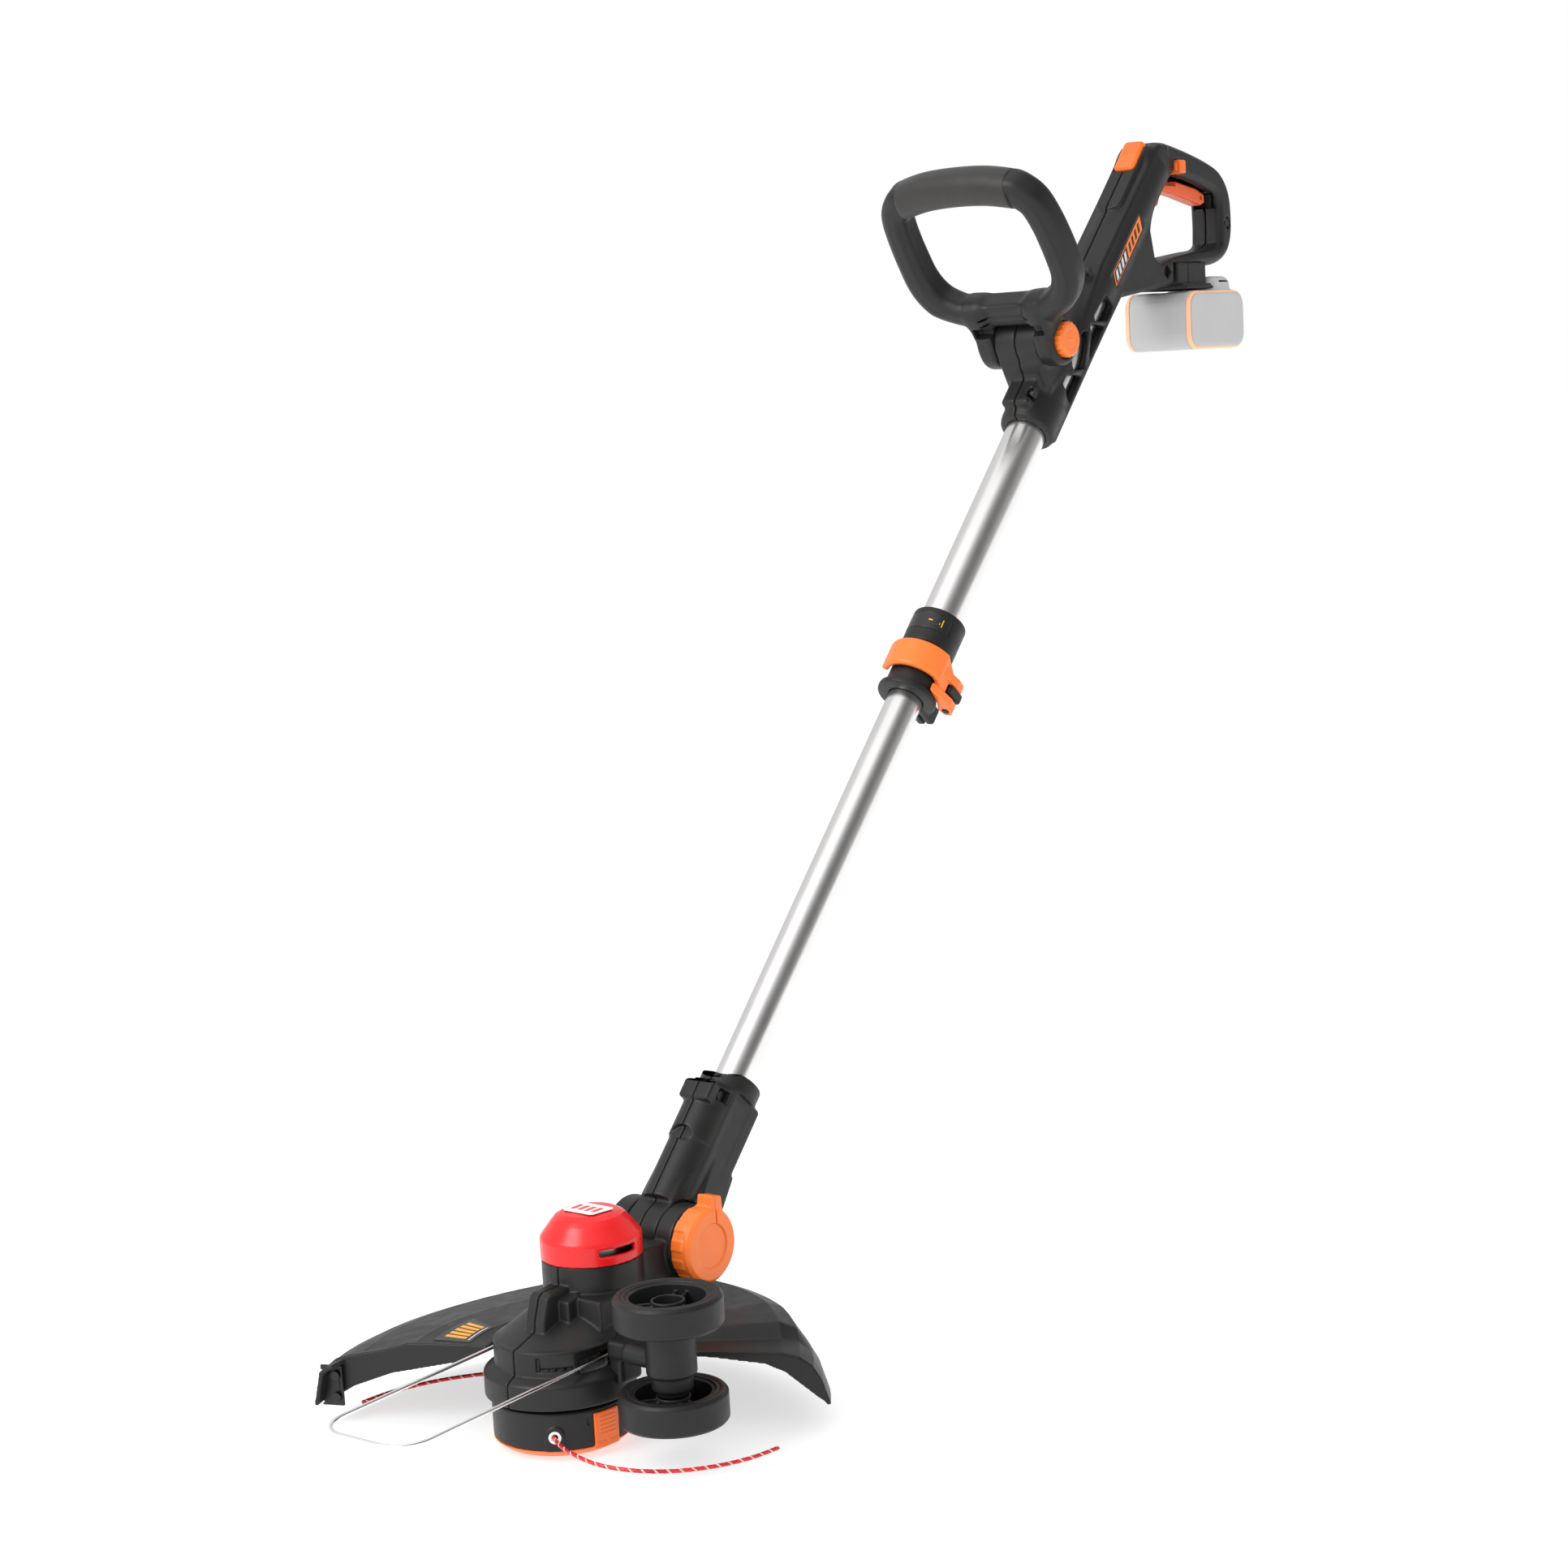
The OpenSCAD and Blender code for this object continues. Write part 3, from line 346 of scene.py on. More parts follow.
def ring(r0, r1, z0, z1, a0, a1, radius=0.4):
    """Part of a ring about z, from azimuth a0 to a1 in degrees."""
    middle, half = math.radians((a0 + a1) / 2), math.radians((a1 - a0) / 2)

    def distance(x, y, z):
        reach = np.hypot(x, y)
        turn = np.arctan2(y, x) - middle
        turn = np.abs((turn + math.pi) % (2 * math.pi) - math.pi) - half
        flat = np.maximum(np.abs(reach - (r0 + r1) / 2) - (r1 - r0) / 2, turn * reach)
        return extrude(flat, z - (z0 + z1) / 2, (z1 - z0) / 2, radius)
    return (-r1, -r1, z0), (r1, r1, z1), distance


def leaning(shape, place):
    """The same shape in a frame that leans about Y."""
    low, high, distance = shape
    corners = [place @ Vector((x, y, z)) for x in (low[0], high[0]) for y in (low[1], high[1])
               for z in (low[2], high[2])]
    inverse = place.inverted()
    a, c, dx = inverse[0][0], inverse[0][2], inverse[0][3]
    e, g, dz = inverse[2][0], inverse[2][2], inverse[2][3]
    return (tuple(min(p[i] for p in corners) for i in range(3)),
            tuple(max(p[i] for p in corners) for i in range(3)),
            lambda x, y, z: distance(a * x + c * z + dx, y, e * x + g * z + dz))


def on_shaft(shape):
    return leaning(shape, SHAFT)


class Casting:
    """A moulded piece, as a distance field on an even grid of millimetres."""

    def __init__(self, low, high, cell):
        self.low, self.cell = np.array(low, float) - 2 * cell, cell
        count = np.ceil((np.array(high) - self.low) / cell + 3).astype(int)
        self.field = np.full(count, 12.0, np.float32)
        self.axes = [self.low[i] + cell * np.arange(count[i]) for i in range(3)]

    def window(self, low, high, margin):
        """The slices and coordinates of the grid around a box."""
        cuts, coords = [], []
        for i, axis in enumerate(self.axes):
            first = max(0, int((low[i] - margin - self.low[i]) / self.cell))
            last = min(len(axis), int((high[i] + margin - self.low[i]) / self.cell) + 2)
            cuts.append(slice(first, max(first, last)))
            shape = [1, 1, 1]
            shape[i] = -1
            coords.append(axis[cuts[-1]].reshape(shape))
        return tuple(cuts), coords

    def add(self, *shapes, blend=1.5):
        for low, high, distance in shapes:
            cuts, (x, y, z) = self.window(low, high, blend + 3)
            self.field[cuts] = smooth_min(self.field[cuts], distance(x, y, z), blend)
        return self

    def cut(self, *shapes, blend=0.8):
        for low, high, distance in shapes:
            cuts, (x, y, z) = self.window(low, high, blend + 2)
            self.field[cuts] = -smooth_min(-self.field[cuts], distance(x, y, z), blend)
        return self

    def keep(self, *shapes, blend=0.8):
        """Keeps only what is inside every shape."""
        for _, _, distance in shapes:
            x, y, z = (a.reshape(s) for a, s in zip(self.axes, ((-1, 1, 1), (1, -1, 1), (1, 1, -1))))
            self.field = -smooth_min(-self.field, -distance(x, y, z), blend)
        return self

    def surface(self):
        """Points and quads of the zero level, one point for each cell that it crosses."""
        f = self.field
        inside = f < 0
        n = [s - 1 for s in f.shape]
        corner = [(i, j, k) for i in (0, 1) for j in (0, 1) for k in (0, 1)]
        parts = [inside[i:i + n[0], j:j + n[1], k:k + n[2]] for i, j, k in corner]
        total = sum(p.astype(np.int8) for p in parts)
        cells = np.argwhere((total > 0) & (total < 8))
        index = np.full(n, -1, np.int64)
        index[tuple(cells.T)] = np.arange(len(cells))
        values = {c: f[tuple((cells + np.array(c)).T)] for c in corner}
        where, weight = np.zeros((len(cells), 3)), np.zeros((len(cells), 1))
        for a in corner:
            for axis in range(3):
                if a[axis]:
                    continue
                b = tuple(v + (i == axis) for i, v in enumerate(a))
                crossed = (values[a] < 0) != (values[b] < 0)
                t = np.where(crossed, values[a] / np.where(crossed, values[a] - values[b], 1), 0)
                step = np.array(a, float)[None, :] + t[:, None] * np.eye(3)[axis]
                where += step * crossed[:, None]
                weight += crossed[:, None]
        points = self.low + (cells + where / weight) * self.cell
        quads = []
        for axis in range(3):
            one, two = (axis + 1) % 3, (axis + 2) % 3
            lead = [slice(1, n[i]) for i in range(3)]
            lead[axis] = slice(0, n[axis])
            ahead = list(lead)
            ahead[axis] = slice(1, n[axis] + 1)
            a, b = inside[tuple(lead)], inside[tuple(ahead)]
            for rising in (True, False):
                at = np.argwhere((a & ~b) if rising else (~a & b))
                at += np.array([0 if i == axis else 1 for i in range(3)])
                ring4 = []
                for d1, d2 in ((-1, -1), (0, -1), (0, 0), (-1, 0)):
                    cell = at.copy()
                    cell[:, one] += d1
                    cell[:, two] += d2
                    ring4.append(index[tuple(cell.T)])
                quads.append(np.stack(ring4 if rising else ring4[::-1], 1))
        return points, np.concatenate(quads)


def finish_piece(obj, mat, replaces=(), body=None):
    """Material, slot, the body it rides on and the nodes it stands for."""
    obj.data.materials.clear()
    obj.data.materials.append(M[mat])
    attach(obj, body or BODY_OF[replaces[0]])
    if replaces:
        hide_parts(*replaces)
    return obj


def link_mesh(name, points, faces):
    mesh = bpy.data.meshes.new(name)
    mesh.from_pydata([tuple(p) for p in points], [], [tuple(f) for f in faces])
    mesh.update()
    obj = bpy.data.objects.new(name, mesh)
    bpy.context.scene.collection.objects.link(obj)
    return obj


def fast_mesh(name, points, quads):
    """An object from arrays, for the large castings."""
    mesh = bpy.data.meshes.new(name)
    mesh.vertices.add(len(points))
    mesh.vertices.foreach_set("co", np.asarray(points, np.float32).ravel())
    mesh.loops.add(4 * len(quads))
    mesh.loops.foreach_set("vertex_index", np.asarray(quads, np.int32).ravel())
    mesh.polygons.add(len(quads))
    mesh.polygons.foreach_set("loop_start", np.arange(0, 4 * len(quads), 4, dtype=np.int32))
    mesh.update(calc_edges=True)
    mesh.validate()
    obj = bpy.data.objects.new(name, mesh)
    bpy.context.scene.collection.objects.link(obj)
    return obj


def applied(obj):
    """Bakes the object's modifiers into its mesh."""
    graph = bpy.context.evaluated_depsgraph_get()
    mesh = bpy.data.meshes.new_from_object(obj.evaluated_get(graph))
    obj.modifiers.clear()
    obj.data = mesh
    return obj


def relax(obj, times):
    smooth = obj.modifiers.new("relax", "SMOOTH")
    smooth.iterations = times
    smooth.factor = 0.5
    return applied(obj)


def thin_out(obj, ratio):
    """Keeps this share of the faces."""
    less = obj.modifiers.new("thin_out", "DECIMATE")
    less.ratio = ratio
    return applied(obj)


SMOOTHING_ROUNDS = 3
KEPT_SHARE = 0.5                 # of the faces that a casting starts with


def cast(name, casting, mat, replaces, place=HOME, body=None):
    """Turns a casting into a smooth object."""
    points, quads = casting.surface()
    obj = fast_mesh(name, points, quads)
    relax(obj, SMOOTHING_ROUNDS)
    obj.data.transform(Matrix.Scale(0.001, 4) @ place)
    thin_out(obj, KEPT_SHARE)
    obj.data.shade_smooth()
    return finish_piece(obj, mat, replaces, body)


def split_cast(names, casting, mat, nodes, **options):
    """Two half shells with a fine seam between them, the first on the -Y side."""
    whole = casting.field
    y = casting.axes[1].reshape(1, -1, 1)
    for name, node, side in zip(names, nodes, (-1, 1)):
        casting.field = -smooth_min(-whole, side * y - SEAM, 0.7)
        cast(name, casting, mat, (node,), **options)


# ---------- cutting line ----------
LINE_POINTS = [(-29.5, -21.8, 16), (-36.5, -27, 16), (-45.5, -45, 15), (-50, -71, 13.5), (-44.5, -94, 12),
               (-30, -114, 10.5), (-9.5, -129, 9.6), (13.5, -138, 9), (36, -141, 8.6)]


def twisted_line(name, node, turn):
    """A twisted two-strand nylon line with pale flecks, as a closed tube."""
    path = [Vector(p) for p in curve([Matrix.Rotation(turn, 4, "Z") @ Vector(p) for p in LINE_POINTS], 26)]
    around, pitch = 20, 7.5
    bm = bmesh.new()
    uv = bm.loops.layers.uv.new("along")
    run, rings = 0.0, []
    side = Vector((0, 0, 1))
    for i, p in enumerate(path):
        ahead = (path[min(i + 1, len(path) - 1)] - path[max(i - 1, 0)]).normalized()
        if i:
            run += (p - path[i - 1]).length
        side = (side - ahead * side.dot(ahead)).normalized()
        other = ahead.cross(side)
        rings.append([])
        for k in range(around):
            angle = 2 * math.pi * k / around
            twist = angle - 2 * math.pi * run / pitch
            r = LINE_D / 2 * (0.87 + 0.13 * abs(math.cos(twist)))
            v = bm.verts.new((p + (side * math.cos(angle) + other * math.sin(angle)) * r) / 1000)
            rings[-1].append((v, run / pitch, k / around))
    for a, b in zip(rings, rings[1:]):
        for k in range(around):
            loop4 = (a[k], a[(k + 1) % around], b[(k + 1) % around], b[k])
            face = bm.faces.new([v[0] for v in loop4])
            for loop, (_, u, v) in zip(face.loops, loop4):
                loop[uv].uv = (u, v if v or k != around - 1 or loop4.index((_, u, v)) in (0, 3) else 1.0)
    bm.faces.new([v[0] for v in reversed(rings[0])])
    bm.faces.new([v[0] for v in rings[-1]])
    bmesh.ops.recalc_face_normals(bm, faces=bm.faces[:])
    obj = link_mesh(name, [], [])
    bm.to_mesh(obj.data)
    bm.free()
    obj.data.shade_smooth()
    obj.data.materials.append(M["line_red"])
    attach(obj, BODY_OF[node])
    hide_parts(node)
    return obj


def line_material():
    """Red nylon with a pale strand that winds round it and comes and goes."""
    mat = material("line_red", (0.62, 0.012, 0.014), 0.28, grain=0.01, grain_size=0.4, vary=0.25, coat=0.3)
    nodes, links = mat.node_tree.nodes, mat.node_tree.links
    bsdf = nodes["Principled BSDF"]
    base = bsdf.inputs["Base Color"].links[0].from_socket
    where = nodes.new("ShaderNodeUVMap")
    where.uv_map = "along"
    split = nodes.new("ShaderNodeSeparateXYZ")
    links.new(where.outputs["UV"], split.inputs["Vector"])

    def maths(kind, a, b):
        node = nodes.new("ShaderNodeMath")
        node.operation = kind
        for socket, value in zip(node.inputs, (a, b)):
            if isinstance(value, (int, float)):
                socket.default_value = value
            elif value is not None:
                links.new(value, socket)
        return node.outputs[0]

    wind = maths("FRACT", maths("SUBTRACT", split.outputs["Y"], split.outputs["X"]), None)
    strand = maths("LESS_THAN", maths("ABSOLUTE", maths("SUBTRACT", wind, 0.5), None), 0.09)
    patch = add_node(mat.node_tree, "TexNoise", Scale=120)
    gaps = maths("GREATER_THAN", patch.outputs["Fac"], 0.45)
    mix = colour_mix(mat.node_tree, B=(0.9, 0.72, 0.70, 1))
    links.new(maths("MULTIPLY", strand, gaps), mix.inputs["Factor"])
    links.new(base, mix.inputs["A"])
    links.new(mix.outputs["Result"], bsdf.inputs["Base Color"])
    return mat


M["line_red"] = line_material()
twisted_line("cutting_line_near", "line_near", 0)
twisted_line("cutting_line_far", "line_far", math.pi)


# ---------- rear handle ----------
HANDLE_SCREWS = [(628.5, 706.5), (548, 619), (832, 744), (734, 706)]
# ladder openings in both cheeks, as (across, along) the shaft
WINDOWS = [[(-4, 930), (9, 932), (11.5, 926), (11, 918), (-3, 904.5), (-5.5, 908)],
           [(-6, 899.5), (10.5, 912), (10.5, 880.5), (7, 884)],
           [(-9, 888), (-6, 893), (10, 870), (-2, 857), (-8, 862)],
           [(-6, 850), (10, 862.5), (10.5, 837), (4, 836.5), (-6, 841)]]


def rear_handle():
    """Barrel, ladder cheeks, web and the closed grip behind it."""
    body = Casting((536, -21, 574), (846, 21, 808), 0.8)
    body.add(on_shaft(rod(19.6, 800, 1068, cx=-2, radius=6)))
    body.add(on_shaft(rod(20.5, 800, 827, radius=2)),
             on_shaft(block(-2, 15.2, -17.6, 17.6, 802, 950, 2)),
             on_shaft(block(-27, 0, -12, 12, 806, 836, 3)), blend=2.5)
    body.add(prism([(628, 649), (651, 672), (667, 686.5), (695, 690), (741, 695.5), (747, 700), (747, 716),
                    (726, 712), (718, 717), (713, 737), (721, 768), (744, 778), (741, 802), (730, 803),
                    (722, 797), (640, 712), (610, 670)], -16.5, 16.5, 3), blend=3)
    # the grip that runs back from the barrel
    body.add(band([(724, 790, 12), (742, 792.5, 11.5), (762, 790, 11), (784, 786, 10.5), (806, 780.5, 10.3),
                   (820, 775, 10), (829, 764, 9.8), (831, 748, 10), (830, 734, 9.4), (825.5, 724, 7.2),
                   (812, 718, 6.4), (790, 716, 6), (768, 713.5, 6), (748, 711, 6), (736, 708, 6)],
                  14.4, 0, 5.9), blend=5)
    body.add(y_rod(*LOOP_PIVOT, -18, 18, 17.4, 1.2), blend=2)
    body.add(prism([(549, 640), (554, 671), (585, 675), (592, 640), (562, 618)], -17.8, 17.8, 3), blend=4)
    # raised step with an arched end, below the top button
    arch = [(11 * math.cos(a), 1008 - 7 * math.sin(a)) for a in np.linspace(0, math.pi, 9)]
    body.add(on_shaft(x_prism(arch + [(-11, 1066), (11, 1066)], -23.4, -8, 1.2)), blend=1.4)
    # the tube, the hollow above it and the ladder windows
    body.cut(on_shaft(rod(15.1, 790, 985, radius=0.2)), blend=0.4)
    body.cut(on_shaft(rod(14, 984, 1044, cx=-1, radius=3)),
             prism([(664, 712), (668, 700), (700, 699), (738, 703), (716, 708), (707, 736), (716, 770),
                    (690, 748)], -12, 12, 1),
             prism([(741, 797), (778, 792), (813, 781), (826, 774), (832, 767), (834, 749), (832, 732),
                    (828, 728), (824, 746), (820, 760), (809, 774), (800, 779), (741, 786)], -10, 10, 1),
             prism([(726, 790), (744, 797), (744, 770), (722, 772)], -11, 11, 1),
             prism([(733, 790), (812, 780), (812, 764), (800, 758), (740, 766), (733, 756)], -6.5, 6.5, 0.3),
             block(733, 760, -8, 8, 750, 766, 0.5))
    for window in WINDOWS:
        body.cut(on_shaft(prism(window, -40, 40, 0.4)), blend=0.5)
    body.cut(y_rod(*LOOP_PIVOT, -30, 30, 4.62, 0.2), block(753.2, 762.8, -40, 40, 780.4, 791.6, 1.6))
    for x, z in HANDLE_SCREWS:
        pocket = lean_about(x, z, SHAFT_LEAN)
        body.cut(leaning(block(-4, 4, -40, -9, -4, 4, 0.6), pocket), y_rod(x, z, -10, 7, 1.95, 0.1))
    body.cut(on_shaft(block(-7, 5, -30, -18.25, 945, 1009, 0.4)),
             on_shaft(block(-40, -9, -9.6, 9.6, 1040.8, 1070.4, 3)), blend=0.5)
    body.cut(block(742.5, 796, -17.2, 17.2, 688, 713.1, 0.4), blend=0.4)
    # part line across the grip, behind the barrel
    body.cut(leaning(block(-30, 30, -30, -14.9, -0.25, 0.25, 0.1), lean_about(744, 786, 62)), blend=0.5)
    split_cast(("handle_left", "handle_right"), body, "dark_plastic",
               ("handle_shell_left", "handle_shell_right"))


def battery_foot():
    """The hollow block under the grip, with the rails that the pack slides on."""
    foot = Casting((748, -25, 691), (793, 25, 714), 0.5)
    foot.add(block(749, 792, -16.5, 16.5, 696, 713, 1.5), block(749, 792, -21, 21, 692.2, 696.5, 0.8),
             block(750, 790, -24, 24, 692.2, 694.6, 0.5), blend=0.6)
    foot.cut(block(756, 786, -12, 12, 688, 706, 0.5), block(757, 785, -11, 11, 700.2, 705.6, 0))
    foot.cut(block(764, 764.8, -30, -15.6, 697, 720, 0.1), blend=0.3)
    cast("battery_rail_block", foot, "dark_plastic", ("battery_foot",))


# ---------- front handle ----------
def front_handle():
    """The closed loop, its grooved cross bar and the two ears."""
    loop = Casting((-30, -79, -21), (24, 79, 154), 0.8)

    def bow(z):
        return np.interp(z, [0, 40, 62, 100, 131], [0, -4, -1.5, 0.6, 1.8])
    for side in (-1, 1):
        loop.add(band([(side * 26, 31, 10), (side * 40, 36, 10.2), (side * 54, 45, 10.6),
                       (side * 62.2, 60, 10.8), (side * 63.6, 80, 10.6), (side * 62.6, 104, 10.4),
                       (side * 59, 121, 10.6), (side * 50, 131, 11.4), (side * 44, 133, 11.6)],
                      12, 0, 8.5, across="x", offset=bow), blend=3)
        loop.add(y_rod(0, 0, *span(side, 18.35, 32), 17.8, 3),
                 band([(0, 0, 18), (-1, 16, 15), (-3, 32, 11)], 6.8, side * 25.2, 3), blend=4)
        loop.add(band([(-3, 20, 10), (-3.5, 33, 11)], 6.8, side * 27, 4), blend=5)
    loop.add(block(-11, 9, -34, 34, 21.5, 41, 4), blend=5)
    grip_line = [(-48, 131.6, 8), (-26, 136, 8), (0, 137.4, 8), (26, 136, 8), (48, 131.6, 8)]
    loop.add(band(grip_line, 8, 1.8, 7.9, across="x"), blend=0.5)
    # grooves along the cross bar
    for z in (26.2, 31.4):
        loop.cut(block(-16, -10.0, -22, 22, z - 0.7, z + 0.7, 0.5), blend=0.8)
    loop.cut(block(-20, -8.6, -30, 30, 16, 24.6, 1), blend=1.2)
    loop.cut(y_rod(0, 0, -40, 40, 4.65, 0.2), y_rod(0, 0, -42, -26.2, 13.8, 0.5),
             y_rod(0, 0, 29.6, 50, 8.5, 0.3),
             y_rod(0, 0, -18.2, 18.2, 19.3, 0.5), blend=0.8)
    cast("front_loop", loop, "dark_plastic", ("front_frame",), place=LOOP)
    grip = Casting((-14, -49, 114), (17, 49, 153), 0.8)
    grip.add(band([(-56, 128.5, 12.6), (-48, 131.2, 13.2), (-26, 136, 13.5), (0, 137.4, 13.5),
                   (26, 136, 13.5),
                   (48, 131.2, 13.2), (56, 128.5, 12.6)], 13.6, 1.8, 12.4, across="x"))
    grip.cut(band([(a * 1.06, b, 8.3) for a, b, _ in grip_line], 8.3, 1.8, 8.2, across="x"), blend=0.3)
    grip.keep(block(-40, 40, -47.3, 47.3, 60, 200, 0.6), blend=0.6)
    cast("front_grip_sleeve", grip, "soft_grip", ("front_grip",), place=LOOP)


def serrated_knob():
    """The small knob in the near ear, with a plain raised bar on its face."""
    knob = Casting((-14, -40, -14), (14, -26, 14), 0.4)
    knob.add(turned([(0, -38.2), (11.2, -38.2), (12.4, -37), (12.4, -26.6), (0, -26.6)], axis=1))
    for i in range(18):
        knob.add(leaning(block(11, 13.1, -37, -26.9, -0.8, 0.8, 0.4), lean_about(0, 0, 20 * i + 10)),
                 blend=0.5)
    knob.cut(y_rod(0, 0, -36.2, -20, 4.56, 0.1), blend=0.2)
    knob.cut(turned([(6.6, -41), (7.1, -41), (7.1, -37.8), (6.6, -37.8)], axis=1), blend=0.3)
    knob.add(block(-2.4, 2.4, -38.6, -37.8, -0.5, 0.5, 0.3), blend=0.3)
    cast("front_handle_knob", knob, "knob_orange", ("front_knob",),
         place=Matrix.Translation((LOOP_PIVOT[0], 0, LOOP_PIVOT[1])))


# ---------- arm ----------
ARM_SCREW = (-17.3, 228)         # across and along the shaft


def arm():
    """The moulding between the lower tube and the head's pivot."""
    body = Casting((72, -29, 74), (206, 29, 192), 0.7)
    body.add(on_shaft(rod(16.2, 150, 196, cx=-9.2, radius=1)),
             on_shaft(rod(16.2, 194, 236, cx=-11, radius=1)),
             blend=1.0)
    body.add(on_shaft(block(-11, 19, -16.4, 16.4, 158, 237, 2)),
             on_shaft(rod(20.4, 235.5, 248, radius=2)), blend=1.6)
    body.add(on_shaft(block(-29.6, 0, -12.4, 12.4, 219, 233.4, 2)),
             on_shaft(block(8, 26, -9, 9, 182, 239, 4)),
             on_shaft(block(8, 20.5, -16, 16, 180, 238, 3)), blend=1.6)
    body.add(on_shaft(x_prism([(-20, 150), (20, 150), (20, 160), (16.2, 190), (-16.2, 190), (-20, 160)],
                              -4, 23, 2.5)), blend=1.4)
    body.add(y_rod(*PIVOT, -13.7, 13.7, 23.9, 1.2), blend=1.2)
    body.add(band([(PIVOT[0], PIVOT[1], 19), (112, 117, 17), (122, 127, 16)], 13.6, 0, 1.5), blend=3)
    # half-moon step over the front ridge
    moon = [(10 * math.cos(a), 191 + 9.5 * math.sin(a)) for a in np.linspace(0, math.pi, 13)]
    body.cut(on_shaft(x_prism(moon, -36, -23.6, 0.3)), blend=0.4)
    body.cut(on_shaft(rod(12.8, 166, 266, radius=0.2)), blend=0.3)
    body.cut(y_rod(*PIVOT, -40, 40, 4.35, 0.1), y_rod(*PIVOT, 13.8, 40, 25.3, 0.2),
             y_rod(*PIVOT, -40, -13.8, 25.3, 0.2), blend=0.5)
    x, s = ARM_SCREW
    body.cut(on_shaft(block(x - 4, x + 4, -40, -9, s - 4, s + 4, 0.6)),
             on_shaft(y_rod(x, s, -9.5, 9.5, 1.95, 0.1)))
    split_cast(("arm_left", "arm_right"), body, "dark_plastic", ("arm_shell_left", "arm_shell_right"))


# ---------- head ----------
def skewed_cone(z0, z1, x0, x1, r0, r1):
    """A cone whose middle moves from x0 to x1 as it rises."""
    def distance(x, y, z):
        t = np.clip((z - z0) / (z1 - z0), 0, 1)
        flat = np.hypot(x - x0 - (x1 - x0) * t, y) - r0 - (r1 - r0) * t
        return extrude(flat * 0.6, z - (z0 + z1) / 2, (z1 - z0) / 2, 0.2)
    reach = max(r0, r1)
    return (min(x0, x1) - reach, -reach, z0), (max(x0, x1) + reach, reach, z1), distance


def head():
    """Gear skirt, hood, motor housing and pivot cheeks."""
    body = Casting((-48, -48, 31), (127, 48, 127), 0.75)
    body.add(turned([(0, 33), (46.6, 33), (46.8, 34), (46.8, 47.2), (45.6, 48.6), (39.8, 52), (39.8, 66.6),
                     (39, 67.4),
                     (0, 67.4)]), blend=0.5)
    body.add(skewed_cone(66.6, 82, 0, MOTOR_X, 39.0, 31.4), blend=0.8)
    body.add(rod(31.5, 80, 108, cx=MOTOR_X, radius=0.5), blend=2)
    body.add(rod(17, 52, 80, cx=MOTOR_X, radius=0.5), rod(20, 52, 68, cx=22, radius=0.5))
    body.add(prism([(8, 68), (-20.5, 72), (-19.6, 80), (-15, 93.5), (-12, 95.6), (8, 96.5)], -8, 8, 1.4),
             blend=0.9)
    body.add(prism([(2, 72), (-6, 77), (-6, 90), (6, 93)], -16, -7, 1.2), blend=0.9)
    body.add(block(2, 42, -35, -14, 66, 91, 1.6), blend=1.2)
    body.add(block(56, 92, -24, 24, 76, 108, 2), block(48, 70, -15, 15, 64.1, 84, 1), blend=1.6)
    for side in (-1, 1):
        body.add(y_rod(*PIVOT, *span(side, 14, 27.6), 24.3, 1.4), blend=1.6)
    # hollows
    body.cut(turned([(0, 31), (44.2, 31), (44.2, 46), (37.3, 51), (37.3, 60), (0, 60)]), blend=0.4)
    body.cut(rod(9.6, 50, 64, radius=0.2), rod(9.5, 48, 61, cx=MOTOR_X, radius=0.2),
             rod(7, 58, 80, cx=MOTOR_X, radius=0.2), rod(28.95, 74, 118, cx=MOTOR_X, radius=0.2), blend=0.3)
    body.cut(y_rod(*PIVOT, -13.95, 13.95, 24.9, 0.2), y_rod(*PIVOT, -40, 40, 4.35, 0.1),
             block(93, 140, -13.95, 13.95, 60, 130, 0.3), blend=0.4)
    for side in (-1, 1):
        low, high = span(side, 33.6, 60)
        body.cut(block(-26, 26, low, high, 52.5, 66.2, 0.6), blend=0.8)
    # L-shaped recess in the rim
    body.cut(ring(38.2, 42, 55.6, 57.4, 203, 236), ring(38.2, 42, 55.6, 63.6, 203, 206.4), blend=0.4)
    body.cut(y_rod(20, 58.8, -42, 42, 1.45, 0.1), *[rod(1.8, 60, 76, cx=x, cy=y, radius=0.1)
             for x in (56, 64) for y in (-10, 10)], blend=0.2)
    for side in (-1, 1):
        low, high = span(side, 28.2, 34.2)
        body.add(y_rod(20, 58.8, low, high, 4.1, 0.4), blend=0.6)
        body.cut(y_rod(20, 58.8, *span(side, 26, 44), 1.45, 0.1), blend=0.2)
    split_cast(("head_left", "head_right"), body, "dark_plastic", ("head_shell_left", "head_shell_right"))


def motor_cap():
    """The red cap on the motor housing, with a slot on each side."""
    cap = Casting((-33, -33, 107), (33, 33, 138), 0.6)
    cap.add(turned([(0, 108.1), (31.9, 108.1), (31.9, 120.4), (31.2, 122.3), (24.4, 131), (21.6, 134),
                    (17.6, 136), (9, 136.8), (0, 137)]), blend=0.4)
    cap.cut(turned([(0, 100), (29.2, 100), (29.2, 119), (18, 133), (0, 133)]), blend=0.4)
    for a in (-104, 104):
        cap.cut(ring(26, 36, 113.8, 118.2, a - 25, a + 25, 2), blend=0.5)
    cap.cut(block(26.6, 60, -24.4, 24.4, 90, 108.5, 0.2), blend=0.3)
    cast("red_motor_cap", cap, "red_plastic", ("motor_cap",), place=Matrix.Translation((MOTOR_X, 0, 0)))


